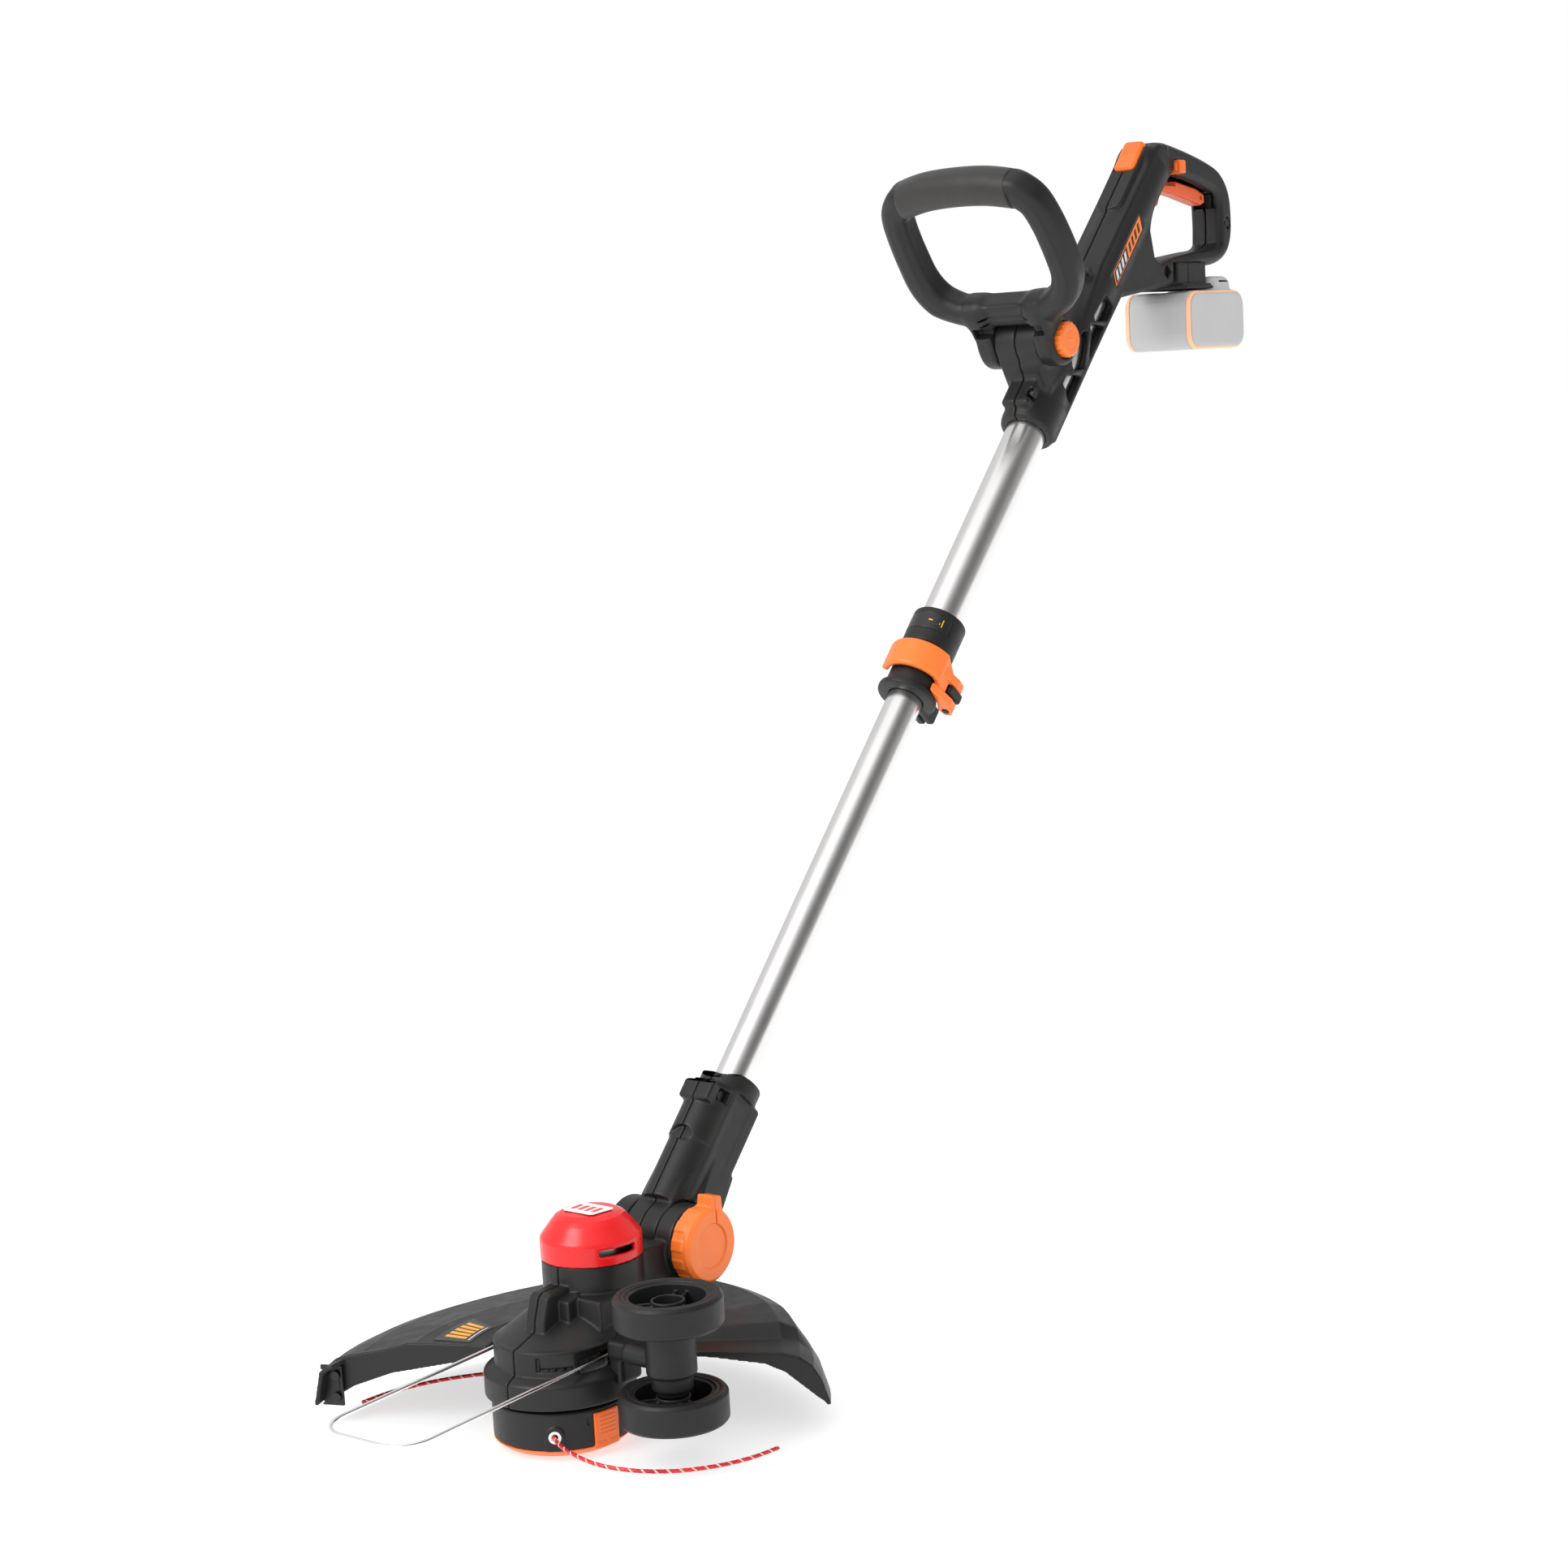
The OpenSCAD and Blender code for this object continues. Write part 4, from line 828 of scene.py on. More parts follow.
def tilt_knob():
    """The large knob on the head pivot: raised blocks round its rim, a sunk disc and a pointer."""
    knob = Casting((-26, -44, -26), (26, -27, 33), 0.5)
    knob.add(turned([(0, -42.3), (21.8, -42.3), (24, -40.2), (24, -28.2), (0, -28.2)], axis=1))
    for i in range(12):
        knob.add(leaning(block(17, 24.6, -37.4, -28.5, -3.6, 3.6, 0.6), lean_about(0, 0, 30 * i + 12)),
                 blend=0.8)
    knob.add(prism([(0.7, 17), (13.7, 15), (12.5, 29.5), (3.5, 31.5)], -41.4, -29, 1), blend=1)
    knob.cut(turned([(0, -60), (14.8, -60), (14.2, -41.1), (0, -41.1)], axis=1),
             y_rod(0, 0, -39.2, -20, 4.28, 0.1),
             block(5.2, 6.3, -60, -40.7, 13, 33, 0.3), blend=0.5)
    cast("head_tilt_knob", knob, "knob_orange", ("pivot_knob",),
         place=Matrix.Translation((PIVOT[0], 0, PIVOT[1])))


# ---------- guard ----------
GUARD_FROM, GUARD_TO = -56, 110  # azimuths of its two ends, in degrees
GUARD_HALF = 1.35                # half its thickness
GUARD_TURNS = [-56, -47, -43, -30, 0, 30, 50, 60, 75, 90, 100, 110]
# height of the guard's skin at those azimuths, on each reach from the spool axis
GUARD_SKIN = {
    50: [52, 53, 54, 55.5, 56, 56, 56, 56, 55.5, 55, 54.5, 54],
    62: [52, 54, 57.5, 59.5, 60.5, 60.5, 59.5, 59, 58, 56.5, 55, 54],
    100: [51, 53, 59.5, 61.5, 62, 61, 58.5, 57, 55.5, 54.5, 53, 52],
    137: [49, 51, 59, 62.5, 63, 60, 54.5, 52.4, 50, 48, 46, 43.5],
    147: [46.5, 48.5, 54.5, 58, 58.5, 54.5, 50, 48.6, 46.6, 45, 43, 41],
    155: [40.5, 41.5, 42.5, 43.5, 44, 43.5, 43, 43, 42.4, 41, 40, 38.6],
    160: [31, 32, 33, 34, 34, 34, 35, 36.4, 36.4, 36, 35.4, 35],
    164.4: [18, 18, 18, 18, 18, 18, 18, 17, 17, 16, 15.5, 15],
}


def guard_height(reach, azimuth):
    """Height of the skin at one place."""
    return float(np.interp(reach, list(GUARD_SKIN),
                           [np.interp(azimuth, GUARD_TURNS, h) for h in GUARD_SKIN.values()]))


def azimuth_walls(azimuth, reach, a0, a1):
    return np.maximum(azimuth - a1, a0 - azimuth) * np.pi / 180 * reach


def guard():
    """A curved sheet about the spool axis: deck, crest, and a rim that drops outside."""
    def distance(x, y, z):
        reach = np.hypot(x, y)
        azimuth = np.degrees(np.arctan2(y, x))
        end = np.interp(reach, [146, 152], [GUARD_TO - 0.4, GUARD_TO + 3.8])
        lines = [(r, np.interp(azimuth, GUARD_TURNS, h)) for r, h in GUARD_SKIN.items()]
        best = None
        for (ar, ah), (br, bh) in zip(lines, lines[1:]):
            er, eh = br - ar, bh - ah
            t = np.clip(((reach - ar) * er + (z - ah) * eh) / (er * er + eh * eh), 0, 1)
            d = np.hypot(reach - ar - er * t, z - ah - eh * t)
            best = d if best is None else smooth_min(best, d, 0.6)
        return np.maximum(best - GUARD_HALF, azimuth_walls(azimuth, reach, GUARD_FROM, end))

    body = Casting((-72, -144, 10), (170, 169, 68), 0.9)
    body.add(((-74, -146, 10), (170, 170, 68), distance), blend=0.5)
    # flanges that close both wings, shallow near the head and deep at the rim
    near = [(55, 52), (94, 48.5), (127, 43.5), (139, 38), (159, 21), (165.6, 17), (161, 33), (156, 41),
            (148, 47), (55, 53.4)]
    far = [(53, 55), (54, 49), (69, 44), (116, 34), (143, 24), (160, 14), (166, 14), (163.6, 28), (160, 37),
           (155, 41), (147, 44), (125, 48), (104, 54.5), (62, 56)]
    for outline, a0, a1 in ((near, -56, -55.1), (far, 108.4, 109.6)):
        flange = turned(outline)

        def wall(x, y, z, shape=flange[2], a0=a0, a1=a1):
            return np.maximum(shape(x, y, z),
                              azimuth_walls(np.degrees(np.arctan2(y, x)), np.hypot(x, y), a0, a1))
        body.add((flange[0], flange[1], wall), blend=1.2)
    body.add(block(50, 72.4, -15.4, 15.4, 55, 64, 0.6), blend=0.6)
    body.cut(rod(46.9, 30, 52, radius=0.2), rod(40.4, 40, 90, radius=0.2),
             rod(20, 40, 90, cx=MOTOR_X, radius=0.2),
             rod(37.3, 0, 110, cy=AXLE_Y, radius=0.2), block(-30, 30, -62, -33, 40, 70, 0.2),
             block(-30, 30, 33, 40.6, 40, 70, 0.2),
             *[rod(2, 40, 90, cx=x, cy=y, radius=0.1) for x in (56, 64) for y in (-10, 10)], blend=0.3)
    cast("line_guard", body, "dark_plastic", ("guard",))


PATCH_THICK = 0.35


def deck_patch(name, outline, lift, mat, node=None):
    """A four-sided printed patch on the guard, with (reach, azimuth) corners."""
    (r0, a0), (r1, a1), (r2, a2), (r3, a3) = outline
    n, m = 14, 8
    points, faces = [], []
    for layer in (lift, lift - PATCH_THICK):
        for i in range(n + 1):
            for k in range(m + 1):
                u, v = i / n, k / m
                reach = (r0 * (1 - u) + r1 * u) * (1 - v) + (r3 * (1 - u) + r2 * u) * v
                azimuth = (a0 * (1 - u) + a1 * u) * (1 - v) + (a3 * (1 - u) + a2 * u) * v
                turn = math.radians(azimuth)
                height = guard_height(reach, azimuth) + GUARD_HALF + layer
                points.append((reach * math.cos(turn) / 1000, reach * math.sin(turn) / 1000, height / 1000))
    size = (n + 1) * (m + 1)
    for i in range(n):
        for k in range(m):
            a, b = i * (m + 1) + k, (i + 1) * (m + 1) + k
            faces.append((a, b, b + 1, a + 1))
            faces.append((a + size + 1, b + size + 1, b + size, a + size))
    rim = ([i * (m + 1) for i in range(n + 1)] + [n * (m + 1) + k for k in range(1, m + 1)]
           + [i * (m + 1) + m for i in range(n - 1, -1, -1)] + [k for k in range(m - 1, 0, -1)])
    for a, b in zip(rim, rim[1:] + rim[:1]):
        faces.append((b, a, a + size, b + size))
    obj = link_mesh(name, points, faces)
    return finish_piece(obj, mat, (node,) if node else (), "head")


def guard_label():
    """A dark field on the left wing with plain slanted bars and a line."""
    deck_patch("guard_label_field", [(62, 84), (90, 80), (90, 104), (62, 106)], 0.35, "printed_label",
               "guard_label")
    for i in range(5):
        start = 84.5 + 3.4 * i
        deck_patch(f"guard_label_bar_{i + 1}",
                   [(68, start + 1.4), (85, start), (85, start + 2.1), (68, start + 3.5)],
                   0.5, "print_amber")
    deck_patch("guard_label_line", [(64.4, 86), (65.6, 86), (65.6, 103), (64.4, 103)], 0.5, "print_grey")


# ---------- wheels ----------
def wheel(name, node, z):
    body = Casting((-34, -34, -1), (34, 34, 21), 0.55)
    body.add(turned([(26.8, 0.2), (31.6, 0.2), (33.3, 2.2), (33.3, 17.6), (31.4, 19.8), (28.6, 19.8),
                     (28.2, 18.9),
                     (27.4, 18.9), (27.0, 19.6), (25.6, 19.6), (25.6, 18.4), (23, 18.4), (23, 3.9),
                     (26.8, 3.9)]),
             blend=0.4)
    body.add(rod(24.6, 1.4, 4, radius=0.3), rod(10.6, 0.6, 16.2, radius=0.8), blend=0.8)
    for a in (20, 140, 260):
        turn = math.radians(a)
        for side in (-3.4, 3.4):
            def rib(x, y, z, turn=turn, side=side):
                u, v = turned_axes(x, y, turn)
                q = np.maximum(np.abs(v - side) - 0.95,
                               np.maximum(np.abs(u - 16.5) - 8, np.abs(z - 7.8) - 6.2))
                return q
            body.add(((-26, -26, 1), (26, 26, 15), rib), blend=0.7)
    body.cut(rod(4.46, -2, 30, radius=0.1), rod(8.8, 4.4, 30, radius=0.3), rod(7.2, -2, 0.9, radius=0.2),
             blend=0.4)
    cast(name, body, "wheel_plastic", (node,), place=Matrix.Translation((0, AXLE_Y, z)))


def wheel_bracket():
    """The arm from the head to the column that both wheels turn on."""
    body = Casting((-17, -109, 36), (22, -38, 87), 0.65)
    body.add(block(-1, 12, -86, -40.4, 58, 69, 2.5), y_rod(2, 63, -80, -56, 6.5, 1),
             block(0, 20, -51, -40.4, 42, 68, 3), blend=2)
    body.add(rod(15.4, 57.6, 86, cy=AXLE_Y, radius=0.8), rod(12.6, 48, 60, cy=AXLE_Y, radius=1),
             rod(9.5, 44.4, 49, cy=AXLE_Y, radius=0.4), blend=1.4)
    body.cut(rod(4.44, 20, 120, cy=AXLE_Y, radius=0.1), rod(46.9, 20, 47.8, radius=0.1),
             turned([(0, 47), (46.9, 47), (46.9, 47.8), (39.9, 52.1), (39.9, 52.6), (0, 52.6)]),
             blend=0.3)
    cast("wheel_arm", body, "dark_plastic", ("wheel_bracket",))


# ---------- spool head ----------
EYELET_TURN = 216.5
WINDOW_TURN = (262, 82)


def spool_head():
    """The drum with its two windows, and the orange cap that shows through them."""
    drum = Casting((-45, -45, 6), (45, 45, 32), 0.65)
    drum.add(turned([(40.6, 7.3), (42.8, 7.3), (43, 8), (43, 29.4), (42, 30.6), (0, 30.6), (0, 28),
                     (40.6, 28)]),
             rod(8, 24, 29, radius=0.3), blend=0.5)
    for a in (EYELET_TURN, EYELET_TURN - 180):
        turn = math.radians(a)

        def boss(x, y, z, turn=turn):
            u, v = turned_axes(x, y, turn)
            flat = np.maximum(np.hypot(v, np.maximum(z - 16.5, 0)) - 5.8, 7.3 - z)
            return np.maximum(flat, np.abs(u - 40.6) - 3.4)

        def hole(x, y, z, turn=turn):
            u, v = turned_axes(x, y, turn)
            return np.maximum(np.hypot(v, z - 16) - 2.75, 30 - u)
        drum.add(((-45, -45, 7), (45, 45, 24), boss), blend=0.8)
        drum.cut(((-45, -45, 7), (45, 45, 24), hole), blend=0.3)
    for a in WINDOW_TURN:
        drum.cut(ring(37, 48, 5, 28.2, a - 13.2, a + 13.2, 0.3), blend=0.3)
        drum.cut(ring(42, 48, 21, 26, a - 18.4, a - 16.2, 0.4), blend=0.3)
    drum.cut(rod(4, -5, 60, radius=0.1), rod(7.95, -1, 7.4, radius=0.1), blend=0.2)
    cast("spool_drum", drum, "dark_plastic", ("spool_housing",))

    cap = Casting((-45, -45, -1), (45, 45, 29), 0.65)
    cap.add(turned([(0, 0), (28, 0), (33, 0.7), (38, 2.4), (42.4, 5.8), (43.3, 7.0), (39, 7.1), (38, 5.2),
                    (27, 2.6),
                    (0, 2.6)]), blend=0.4)
    for a in WINDOW_TURN:
        cap.add(ring(40.7, 43.6, 5, 27.7, a - 12.8, a + 12.8, 0.5), blend=0.5)
        for i in range(5):
            cap.add(ring(43, 44.1, 13 + 2.6 * i, 14.2 + 2.6 * i, a - 8.6, a + 8.6, 0.3), blend=0.3)
        cap.cut(ring(43.1, 46, 8.8, 10.2, a - 10, a - 2, 0.3),
                ring(43.1, 46, 8.8, 11.8, a - 4.4, a - 3.2, 0.3),
                ring(43.1, 46, 8.8, 10.2, a + 2, a + 10, 0.3), blend=0.2)
    cast("orange_spool_cap", cap, "orange_plastic", ("spool_cap",))


# ---------- telescopic clamp ----------
CLAMP_LOW, CLAMP_HIGH = 558.0, 625.0
LEVER_PIN = (20.5, -20.5)


def clamp():
    """The telescope's sleeve with its flange and slotted lug, and the quick-release lever round it."""
    body = Casting((-23, -29, 541), (36, 23, 627), 0.55)
    low, high = CLAMP_LOW, CLAMP_HIGH
    body.add(rod(21.6, low, low + 5, radius=1.6), rod(18.2, low, high, radius=0.5),
             rod(19.6, 597, high, radius=1),
             block(11, 30, -8, 6, low - 1, low + 12, 2), block(12, 29, 7, 17, 572, 606, 4.5),
             block(10, 26.5, -25.5, -8, 572, 580, 2), blend=1)
    body.add(rod(5.2, 574, 604, cx=27, cy=12, radius=2.5), blend=1)
    body.cut(rod(15.05, 564, 660, radius=0.1), rod(13.1, 500, 580, radius=0.1),
             block(13, 40, -2.2, 0.2, 500, 597, 0.3),
             rod(2.6, 540, 640, cx=LEVER_PIN[0], cy=LEVER_PIN[1], radius=0.1),
             rod(2.6, 540, 640, cx=27, cy=12, radius=0.1), blend=0.5)
    body.cut(ring(19.2, 24, 607, 620, 126, 248, 0.3), blend=0.3)
    cast("clamp_sleeve", body, "dark_plastic", ("clamp_body", "clamp_bush"), place=SHAFT)

    lever = Casting((-28, -30, 560), (30, 28, 598), 0.5)
    lever.add(ring(19.4, 24.6, 572.5, 594.5, 128, 262, 2.4), blend=0.6)
    for z0, z1 in ((562.6, 569.4), (578.6, 585.4)):
        lever.add(prism_z([(-6, -22), (2, -25), (14, -27.4), (21, -26.6), (26, -22.4), (25, -17), (19, -14.8),
                           (12, -18), (2, -20)], z0, z1, 1), blend=1.5)
    lever.add(slab_between((-3, -21.8), (15, -21), 572, 594, 563.4, 584.6, 2.3), blend=1.5)
    lever.cut(block(8.5, 40, -40, -10, 569.6, 578.4, 0.4),
              rod(2.6, 550, 604, cx=LEVER_PIN[0], cy=LEVER_PIN[1], radius=0.1),
              rod(19.3, 550, 604, radius=0.1),
              blend=0.5)
    for i in range(4):
        for k in range(4):
            turn, z = math.radians(134 + 5 * i + 2.5 * (k % 2)), 578 + 3.6 * k
            lever.cut(ball(25.1 * math.cos(turn), 25.1 * math.sin(turn), z, 0.9), blend=0.3)
    cast("orange_clamp_lever", lever, "knob_orange", ("clamp_lever",), place=SHAFT)
    pin = Casting((17, -24, 560), (24, -17, 588), 0.35)
    pin.add(rod(2.4, 562, 586.4, cx=LEVER_PIN[0], cy=LEVER_PIN[1], radius=0.5),
            rod(3.3, 570.2, 571.6, cx=LEVER_PIN[0], cy=LEVER_PIN[1], radius=0.3), blend=0.3)
    cast("clamp_lever_pin", pin, "dark_screw", ("lever_pin",), place=SHAFT)


def slab_between(start, end, low0, high0, low1, high1, half):
    """A wall between two places across the shaft, whose lower and upper edges change along it."""
    (ax, ay), (bx, by) = start, end
    ex, ey = bx - ax, by - ay

    def distance(x, y, z):
        t = np.clip(((x - ax) * ex + (y - ay) * ey) / (ex * ex + ey * ey), 0, 1)
        flat = np.hypot(x - ax - ex * t, y - ay - ey * t) - half
        low, high = low0 + (low1 - low0) * t, high0 + (high1 - high0) * t
        return extrude(flat, z - (low + high) / 2, (high - low) / 2, 1.2)
    return ((min(ax, bx) - half, min(ay, by) - half, min(low0, low1)),
            (max(ax, bx) + half, max(ay, by) + half, max(high0, high1)), distance)


# ---------- trigger, buttons and printed plates ----------
def buttons():
    """The trigger, the cross lock button and the power button."""
    lever = Casting((734, -8, 754), (813, 8, 781), 0.45)
    lever.add(prism([(735.5, 755.6), (741, 757), (746, 768.5), (772, 764.6), (806, 758), (811.5, 760),
                     (811, 766.5),
                     (799, 771), (744, 780), (737, 776)], -6.1, 6.1, 1.8))
    lever.cut(y_rod(806, 764, -10, 10, 1.6, 0.1), block(748, 768, -10, 10, 772.6, 790, 0.2), blend=0.3)
    cast("trigger_lever", lever, "trigger_orange", ("trigger",))
    lock = Casting((751, -20, 779), (765, 20, 793), 0.4)
    lock.add(y_rod(758, 786, -16, 16, 5.6, 0.5), block(753.6, 762.4, -19.6, 19.6, 780.8, 791.2, 1.6),
             blend=0.6)
    cast("lock_off_button", lock, "orange_plastic", ("lock_button",))
    top = Casting((-28, -11, 1040), (-12, 11, 1071), 0.4)
    top.add(block(-25.8, -13.4, -9.1, 9.1, 1041.3, 1069.9, 3.4), blend=0.5)
    top.add(block(-26.5, -18, -7.4, 7.4, 1054, 1068.6, 2.2), blend=2)
    for i in range(6):
        top.cut(block(-29, -25.9, -5.8, 5.8, 1055.2 + 2.2 * i, 1056.1 + 2.2 * i, 0.3), blend=0.3)
    cast("power_button", top, "orange_plastic", ("boost_button",), place=SHAFT)


PLATE_BEVEL = 0.12


def plate(name, outline, y0, y1, mat, body, node=None, place=HOME):
    """A thin printed plate: an outline of (x, z) points between y0 and y1."""
    count = len(outline)
    points = [place @ Vector((x, y, z)) / 1000 for y in (y0, y1) for x, z in outline]
    faces = [tuple(range(count)), tuple(range(2 * count - 1, count - 1, -1))]
    faces += [((i + 1) % count, i, count + i, count + (i + 1) % count) for i in range(count)]
    obj = link_mesh(name, points, faces)
    bm = bmesh.new()
    bm.from_mesh(obj.data)
    bmesh.ops.recalc_face_normals(bm, faces=bm.faces[:])
    bmesh.ops.bevel(bm, geom=bm.edges[:], offset=PLATE_BEVEL / 1000, segments=1, affect="EDGES")
    bm.to_mesh(obj.data)
    bm.free()
    return finish_piece(obj, mat, (node,) if node else (), body)


def slanted(x0, x1, s0, s1, slope=0.55):
    """A parallelogram whose short ends lean across the barrel."""
    return [(x0, s0 - slope * x0), (x1, s0 - slope * x1), (x1, s1 - slope * x1), (x0, s1 - slope * x0)]


def handle_label():
    """Orange frame, dark field, pale bars below and an orange field with dark bars above."""
    plate("handle_label_frame", slanted(-5.6, 4.0, 948, 1006), -18.5, -18.2, "print_orange", "handle",
          "handle_label",
          SHAFT)
    plate("handle_label_field", slanted(-4.9, 3.3, 949, 976), -18.62, -18.3, "printed_label", "handle",
          place=SHAFT)
    for i in range(4):
        plate(f"handle_label_pale_{i + 1}", slanted(-3.9, 2.3, 951.4 + 6 * i, 954.8 + 6 * i), -18.74, -18.5,
              "print_grey", "handle", place=SHAFT)
        plate(f"handle_label_dark_{i + 1}", slanted(-3.9, 2.3, 979.4 + 6.4 * i, 982.6 + 6.4 * i), -18.66,
              -18.4,
              "printed_label", "handle", place=SHAFT)


def cap_label():
    """The pale plate on the motor cap, with plain red bars."""
    flat = Matrix.Translation((MOTOR_X, 0, 137.0)) @ Matrix.Rotation(math.radians(90), 4, "X")
    plate("cap_label_field", [(-11.4, 10.6), (-9.8, 12.6), (5.6, 15), (7.4, 13.6), (7.4, -13.6), (5.6, -15),
                              (-9.8, -12.6), (-11.4, -10.6)], 0, 0.5, "white_plastic", "head", "cap_plate",
                              flat)
    for i in range(4):
        y = -9.6 + 5.6 * i
        plate(f"cap_label_bar_{i + 1}", [(-6.6, y), (-6.6, y + 3), (2.6, y + 3.2), (2.6, y - 0.2)], 0.3,
              0.62, "red_plastic", "head",
              place=flat)


def clamp_print():
    """The dark printed band on the clamp's collar, with a dash and two marks."""
    def arc(name, a0, a1, s0, s1, r, mat, node=None):
        band_part = Casting((-23, -23, s0 - 1), (23, 23, s1 + 1), 0.35)
        band_part.add(ring(19.15, r, s0, s1, a0, a1, 0.1), blend=0.1)
        cast(name, band_part, mat, (node,) if node else (), place=SHAFT, body="handle")
    arc("clamp_print_band", 128, 246, 607.3, 619.7, 19.75, "printed_label", "clamp_label")
    arc("clamp_print_dash", 196, 206, 613.4, 614.8, 19.9, "print_amber")
    arc("clamp_print_mark", 226, 229, 610.6, 617, 19.9, "print_amber")
    arc("clamp_print_dot", 220.5, 223.5, 612, 614, 19.9, "print_green")


# ---------- battery ----------
BX0, BX1, BY, BZ0, BZ1 = 743.0, 826.0, 31.0, 645.5, 690.6
BAND_Y = 27.5


def pack_shape(shrink=0.0):
    """The pack: large corners along its length and small ones at its ends."""
    x0, x1, z0, z1, r = BX0 + shrink, BX1 - shrink, BZ0 + shrink, BZ1 - shrink, 12 - shrink
    outline = []
    for cx, cz, start in ((x1 - r, z0 + r, -90), (x1 - r, z1 - r, 0), (x0 + r, z1 - r, 90),
                          (x0 + r, z0 + r, 180)):
        for step in range(6):
            turn = math.radians(start + 18 * step)
            outline.append((cx + r * math.cos(turn), cz + r * math.sin(turn)))
    return prism(outline, -BY + shrink, BY - shrink, 4.5)


def battery():
    """Pale case with a rail top, and the two bands that run round it."""
    body = Casting((BX0 - 1, -BY - 1, BZ0 - 1), (BX1 + 1, BY + 1, 704), 0.7)
    body.add(pack_shape(), blend=0.5)
    body.add(block(794, 822.5, -22, 22, 676, 702, 7), blend=5)
    body.cut(block(700, 793.5, -21.5, 21.5, 691.6, 720, 0.4), block(754, 790, -9, 9, 686, 700, 0.5),
             block(803, 818, -21.1, 21.1, 691.4, 698.4, 0.3), blend=0.5)
    body.cut(block(BX0 + 2.6, BX1 - 2.6, -BY + 2.6, BY - 2.6, BZ0 + 2.6, 685, 8), blend=0.5)
    for side in (-1, 1):
        body.cut(slab(pack_shape(1.3), side * BAND_Y, 2.1), blend=0.3)
    cast("battery_shell", body, "battery_grey", ("battery_case", "battery_top"))
    bands = Casting((BX0 - 1, -BY - 1, BZ0 - 1), (BX1 + 1, BY + 1, 693), 0.55)
    for side in (-1, 1):
        bands.add(slab(pack_shape(1.2), side * BAND_Y, 2.0), blend=0.2)
    bands.keep(pack_shape(-0.05), blend=0.4)
    cast("battery_trim", bands, "pale_orange", ("battery_bands",))


def slab(core, y_mid, half):
    """A slice across Y of everything outside a core."""
    low, high, inside = core
    grown_low, grown_high = (low[0] - 4, y_mid - half, low[2] - 4), (high[0] + 4, y_mid + half, high[2] + 4)

    def distance(x, y, z):
        return np.maximum(np.abs(y - y_mid) - half, -inside(x, y, z))
    return grown_low, grown_high, distance


rear_handle()
battery_foot()
front_handle()
serrated_knob()
arm()
head()
motor_cap()
tilt_knob()
guard()
guard_label()
wheel("upper_wheel", "wheel_upper", 86.6)
wheel("lower_wheel", "wheel_lower", 27.6)
wheel_bracket()
spool_head()
clamp()
clamp_print()
buttons()
handle_label()
cap_label()
battery()

# ---------- nodes that keep their CAD shape ----------
NODE_MATERIAL = {"wire_guard": "bright_wire", "handle_screws": "dark_screw", "arm_screws": "dark_screw",
                 "lever_pin": "dark_screw", "wheel_axle": "dark_screw", "cutter_blade": "dark_screw",
                 "guard_screws": "dark_screw"}
for node, obj in NODES.items():
    if obj.hide_render:
        continue
    obj.data.materials.clear()
    obj.data.materials.append(M[NODE_MATERIAL.get(node, SLOT_OF[node])])
    weld = obj.modifiers.new("weld", "WELD")
    weld.merge_threshold = 1e-6
    bevel = obj.modifiers.new("edge", "BEVEL")
    bevel.width = 0.0003
    bevel.segments = 2
    bevel.limit_method = "ANGLE"
    bevel.angle_limit = math.radians(40)
    bevel.harden_normals = False

# ---------- floor, light ----------
floor_mesh = bpy.data.meshes.new("floor")
floor_mesh.from_pydata([(-30, -30, 0), (30, -30, 0), (30, 30, 0), (-30, 30, 0)], [], [(0, 1, 2, 3)])
floor = bpy.data.objects.new("floor", floor_mesh)
floor.location.z = -0.0004
bpy.context.scene.collection.objects.link(floor)
floor_look = material("floor", (0.5, 0.5, 0.5), 0.9, vary=0.0, Emission_Color=(1, 1, 1, 1),
                      Emission_Strength=0.62,
                      Specular_IOR_Level=0)
floor_mesh.materials.append(floor_look)


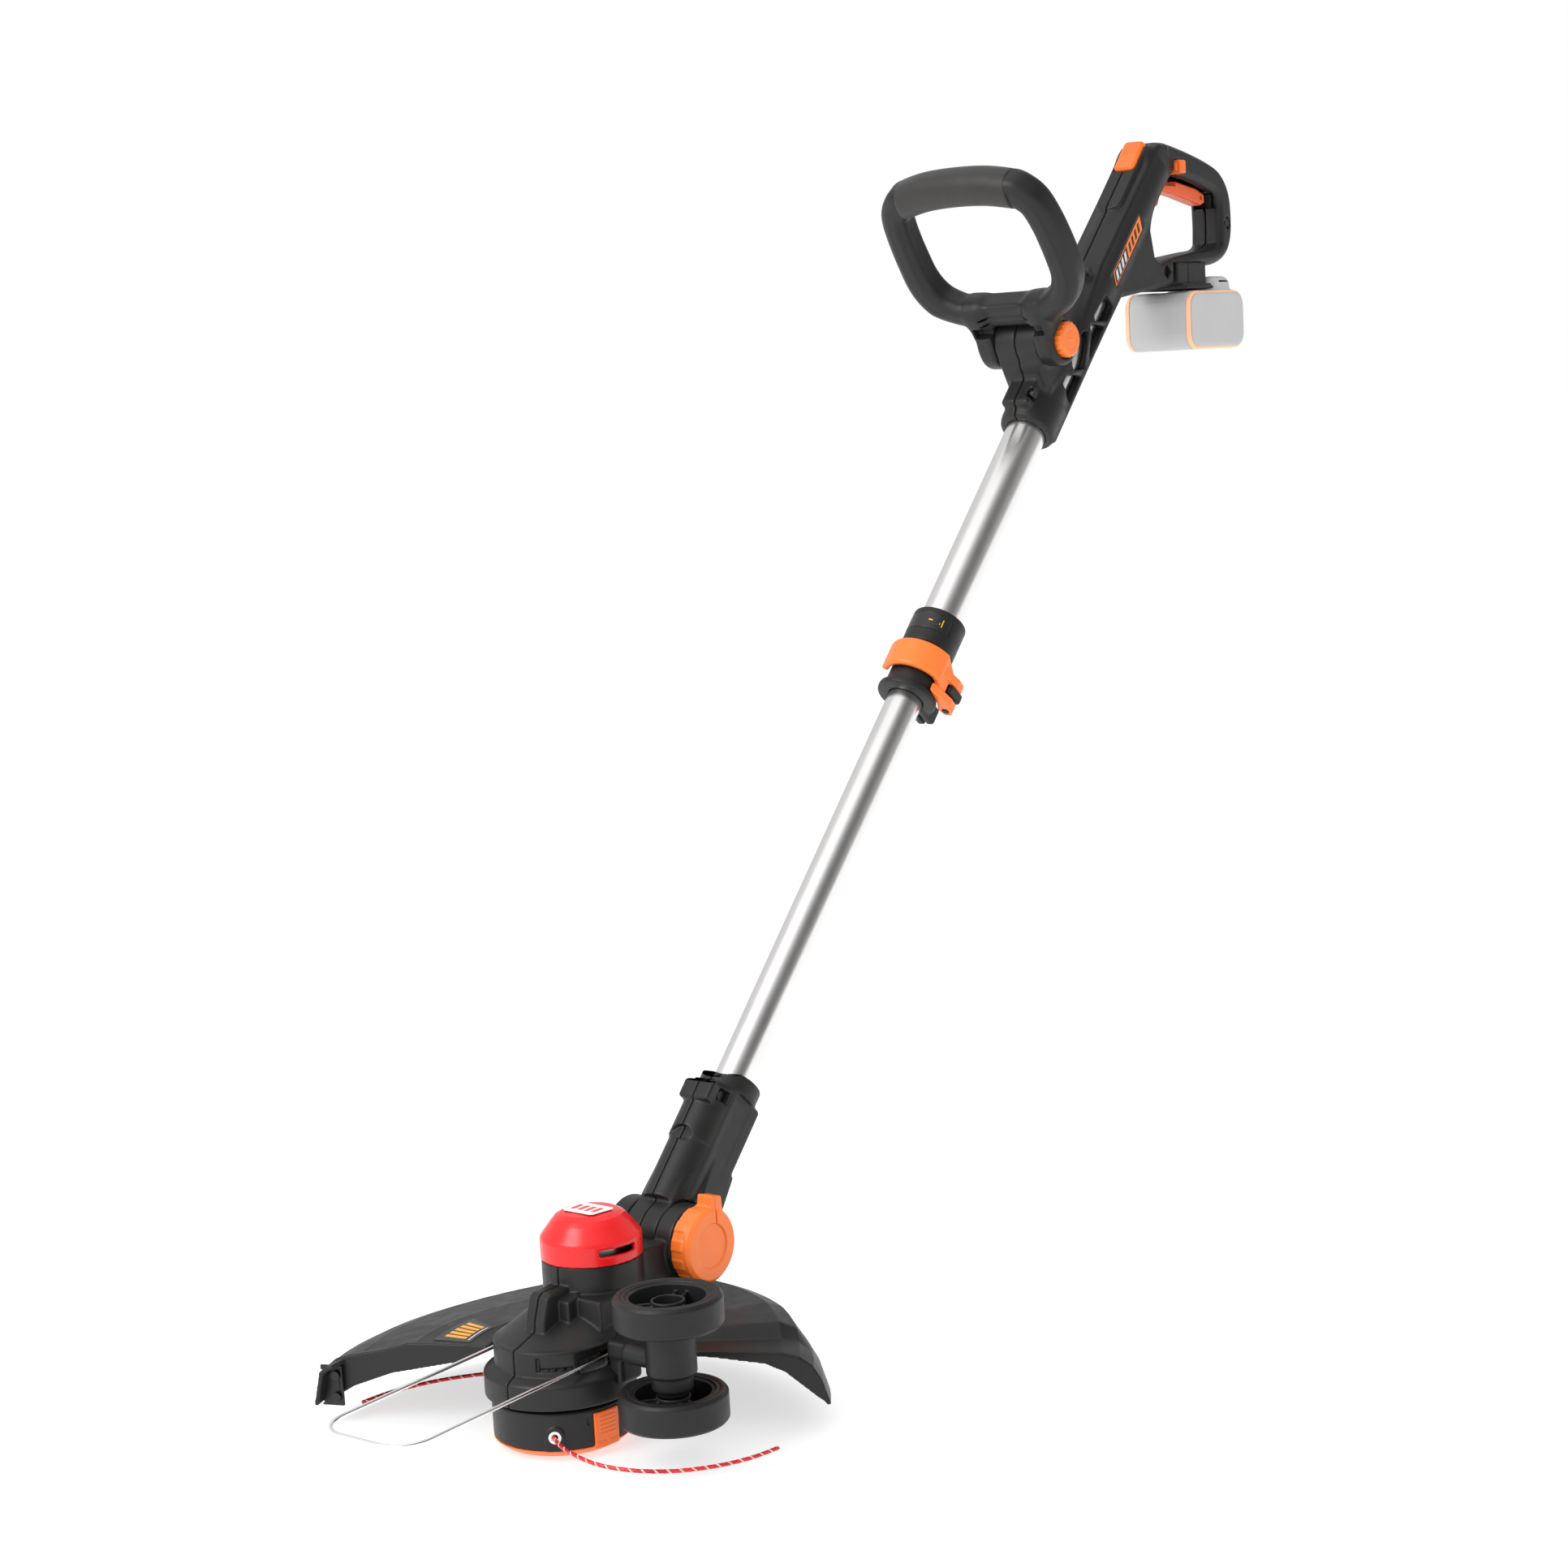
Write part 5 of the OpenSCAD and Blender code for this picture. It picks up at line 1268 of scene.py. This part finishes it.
def studio_world():
    """White to look at and to light with; in reflections, strips of light and shade along the shaft."""
    made = bpy.data.worlds.new("studio")
    made.use_nodes = True
    nodes, links = made.node_tree.nodes, made.node_tree.links
    along = SHAFT.to_3x3() @ Vector((0, 0, 1))
    front = (back - along * back.dot(along)).normalized()
    where = nodes.new("ShaderNodeTexCoord")

    def part(direction):
        node = nodes.new("ShaderNodeVectorMath")
        node.operation = "DOT_PRODUCT"
        node.inputs[1].default_value = direction
        links.new(where.outputs["Generated"], node.inputs[0])
        return node.outputs["Value"]

    turn = nodes.new("ShaderNodeMath")
    turn.operation = "ARCTAN2"
    links.new(part(along.cross(front)), turn.inputs[0])
    links.new(part(front), turn.inputs[1])
    share = add_node(made.node_tree, "MapRange", From_Min=-math.pi, From_Max=math.pi)
    links.new(turn.outputs[0], share.inputs["Value"])
    strips = nodes.new("ShaderNodeValToRGB")
    # degrees round the shaft from the front, positive to its right, and the brightness there
    stops = [(-180, 0.66), (-92, 0.78), (-72, 1.15), (-30, 1.2), (-18, 0.8), (-5, 0.4), (14, 0.18),
             (34, 0.17),
             (56, 0.32), (90, 0.45), (128, 0.45), (150, 0.64), (180, 0.66)]
    while len(strips.color_ramp.elements) < len(stops):
        strips.color_ramp.elements.new(1)
    for element, (angle, level) in zip(strips.color_ramp.elements, stops):
        element.position = angle / 360 + 0.5
        element.color = (level, level, level, 1)
    links.new(share.outputs["Result"], strips.inputs["Fac"])
    ray = nodes.new("ShaderNodeLightPath")
    pick = colour_mix(made.node_tree, A=(1, 1, 1, 1))
    links.new(ray.outputs["Is Glossy Ray"], pick.inputs["Factor"])
    links.new(strips.outputs["Color"], pick.inputs["B"])
    links.new(pick.outputs["Result"], nodes["Background"].inputs["Color"])
    bpy.context.scene.world = made


studio_world()


def softbox(name, at, target, size, power, shine):
    """A square light that faces its target."""
    data = bpy.data.lights.new(name, "AREA")
    data.shape = "RECTANGLE"
    data.size, data.size_y = size
    data.energy = power
    data.specular_factor = shine
    light = bpy.data.objects.new(name, data)
    light.matrix_world = (Matrix.Translation(at)
                          @ (Vector(at) - Vector(target)).to_track_quat("Z", "Y").to_matrix().to_4x4())
    bpy.context.scene.collection.objects.link(light)


MIDDLE = (0.35, 0, 0.4)
softbox("key", (-2.4, 0.6, 2.4), MIDDLE, (1.8, 1.8), 55, shine=0.6)
bpy.context.scene.view_settings.view_transform = "Standard"
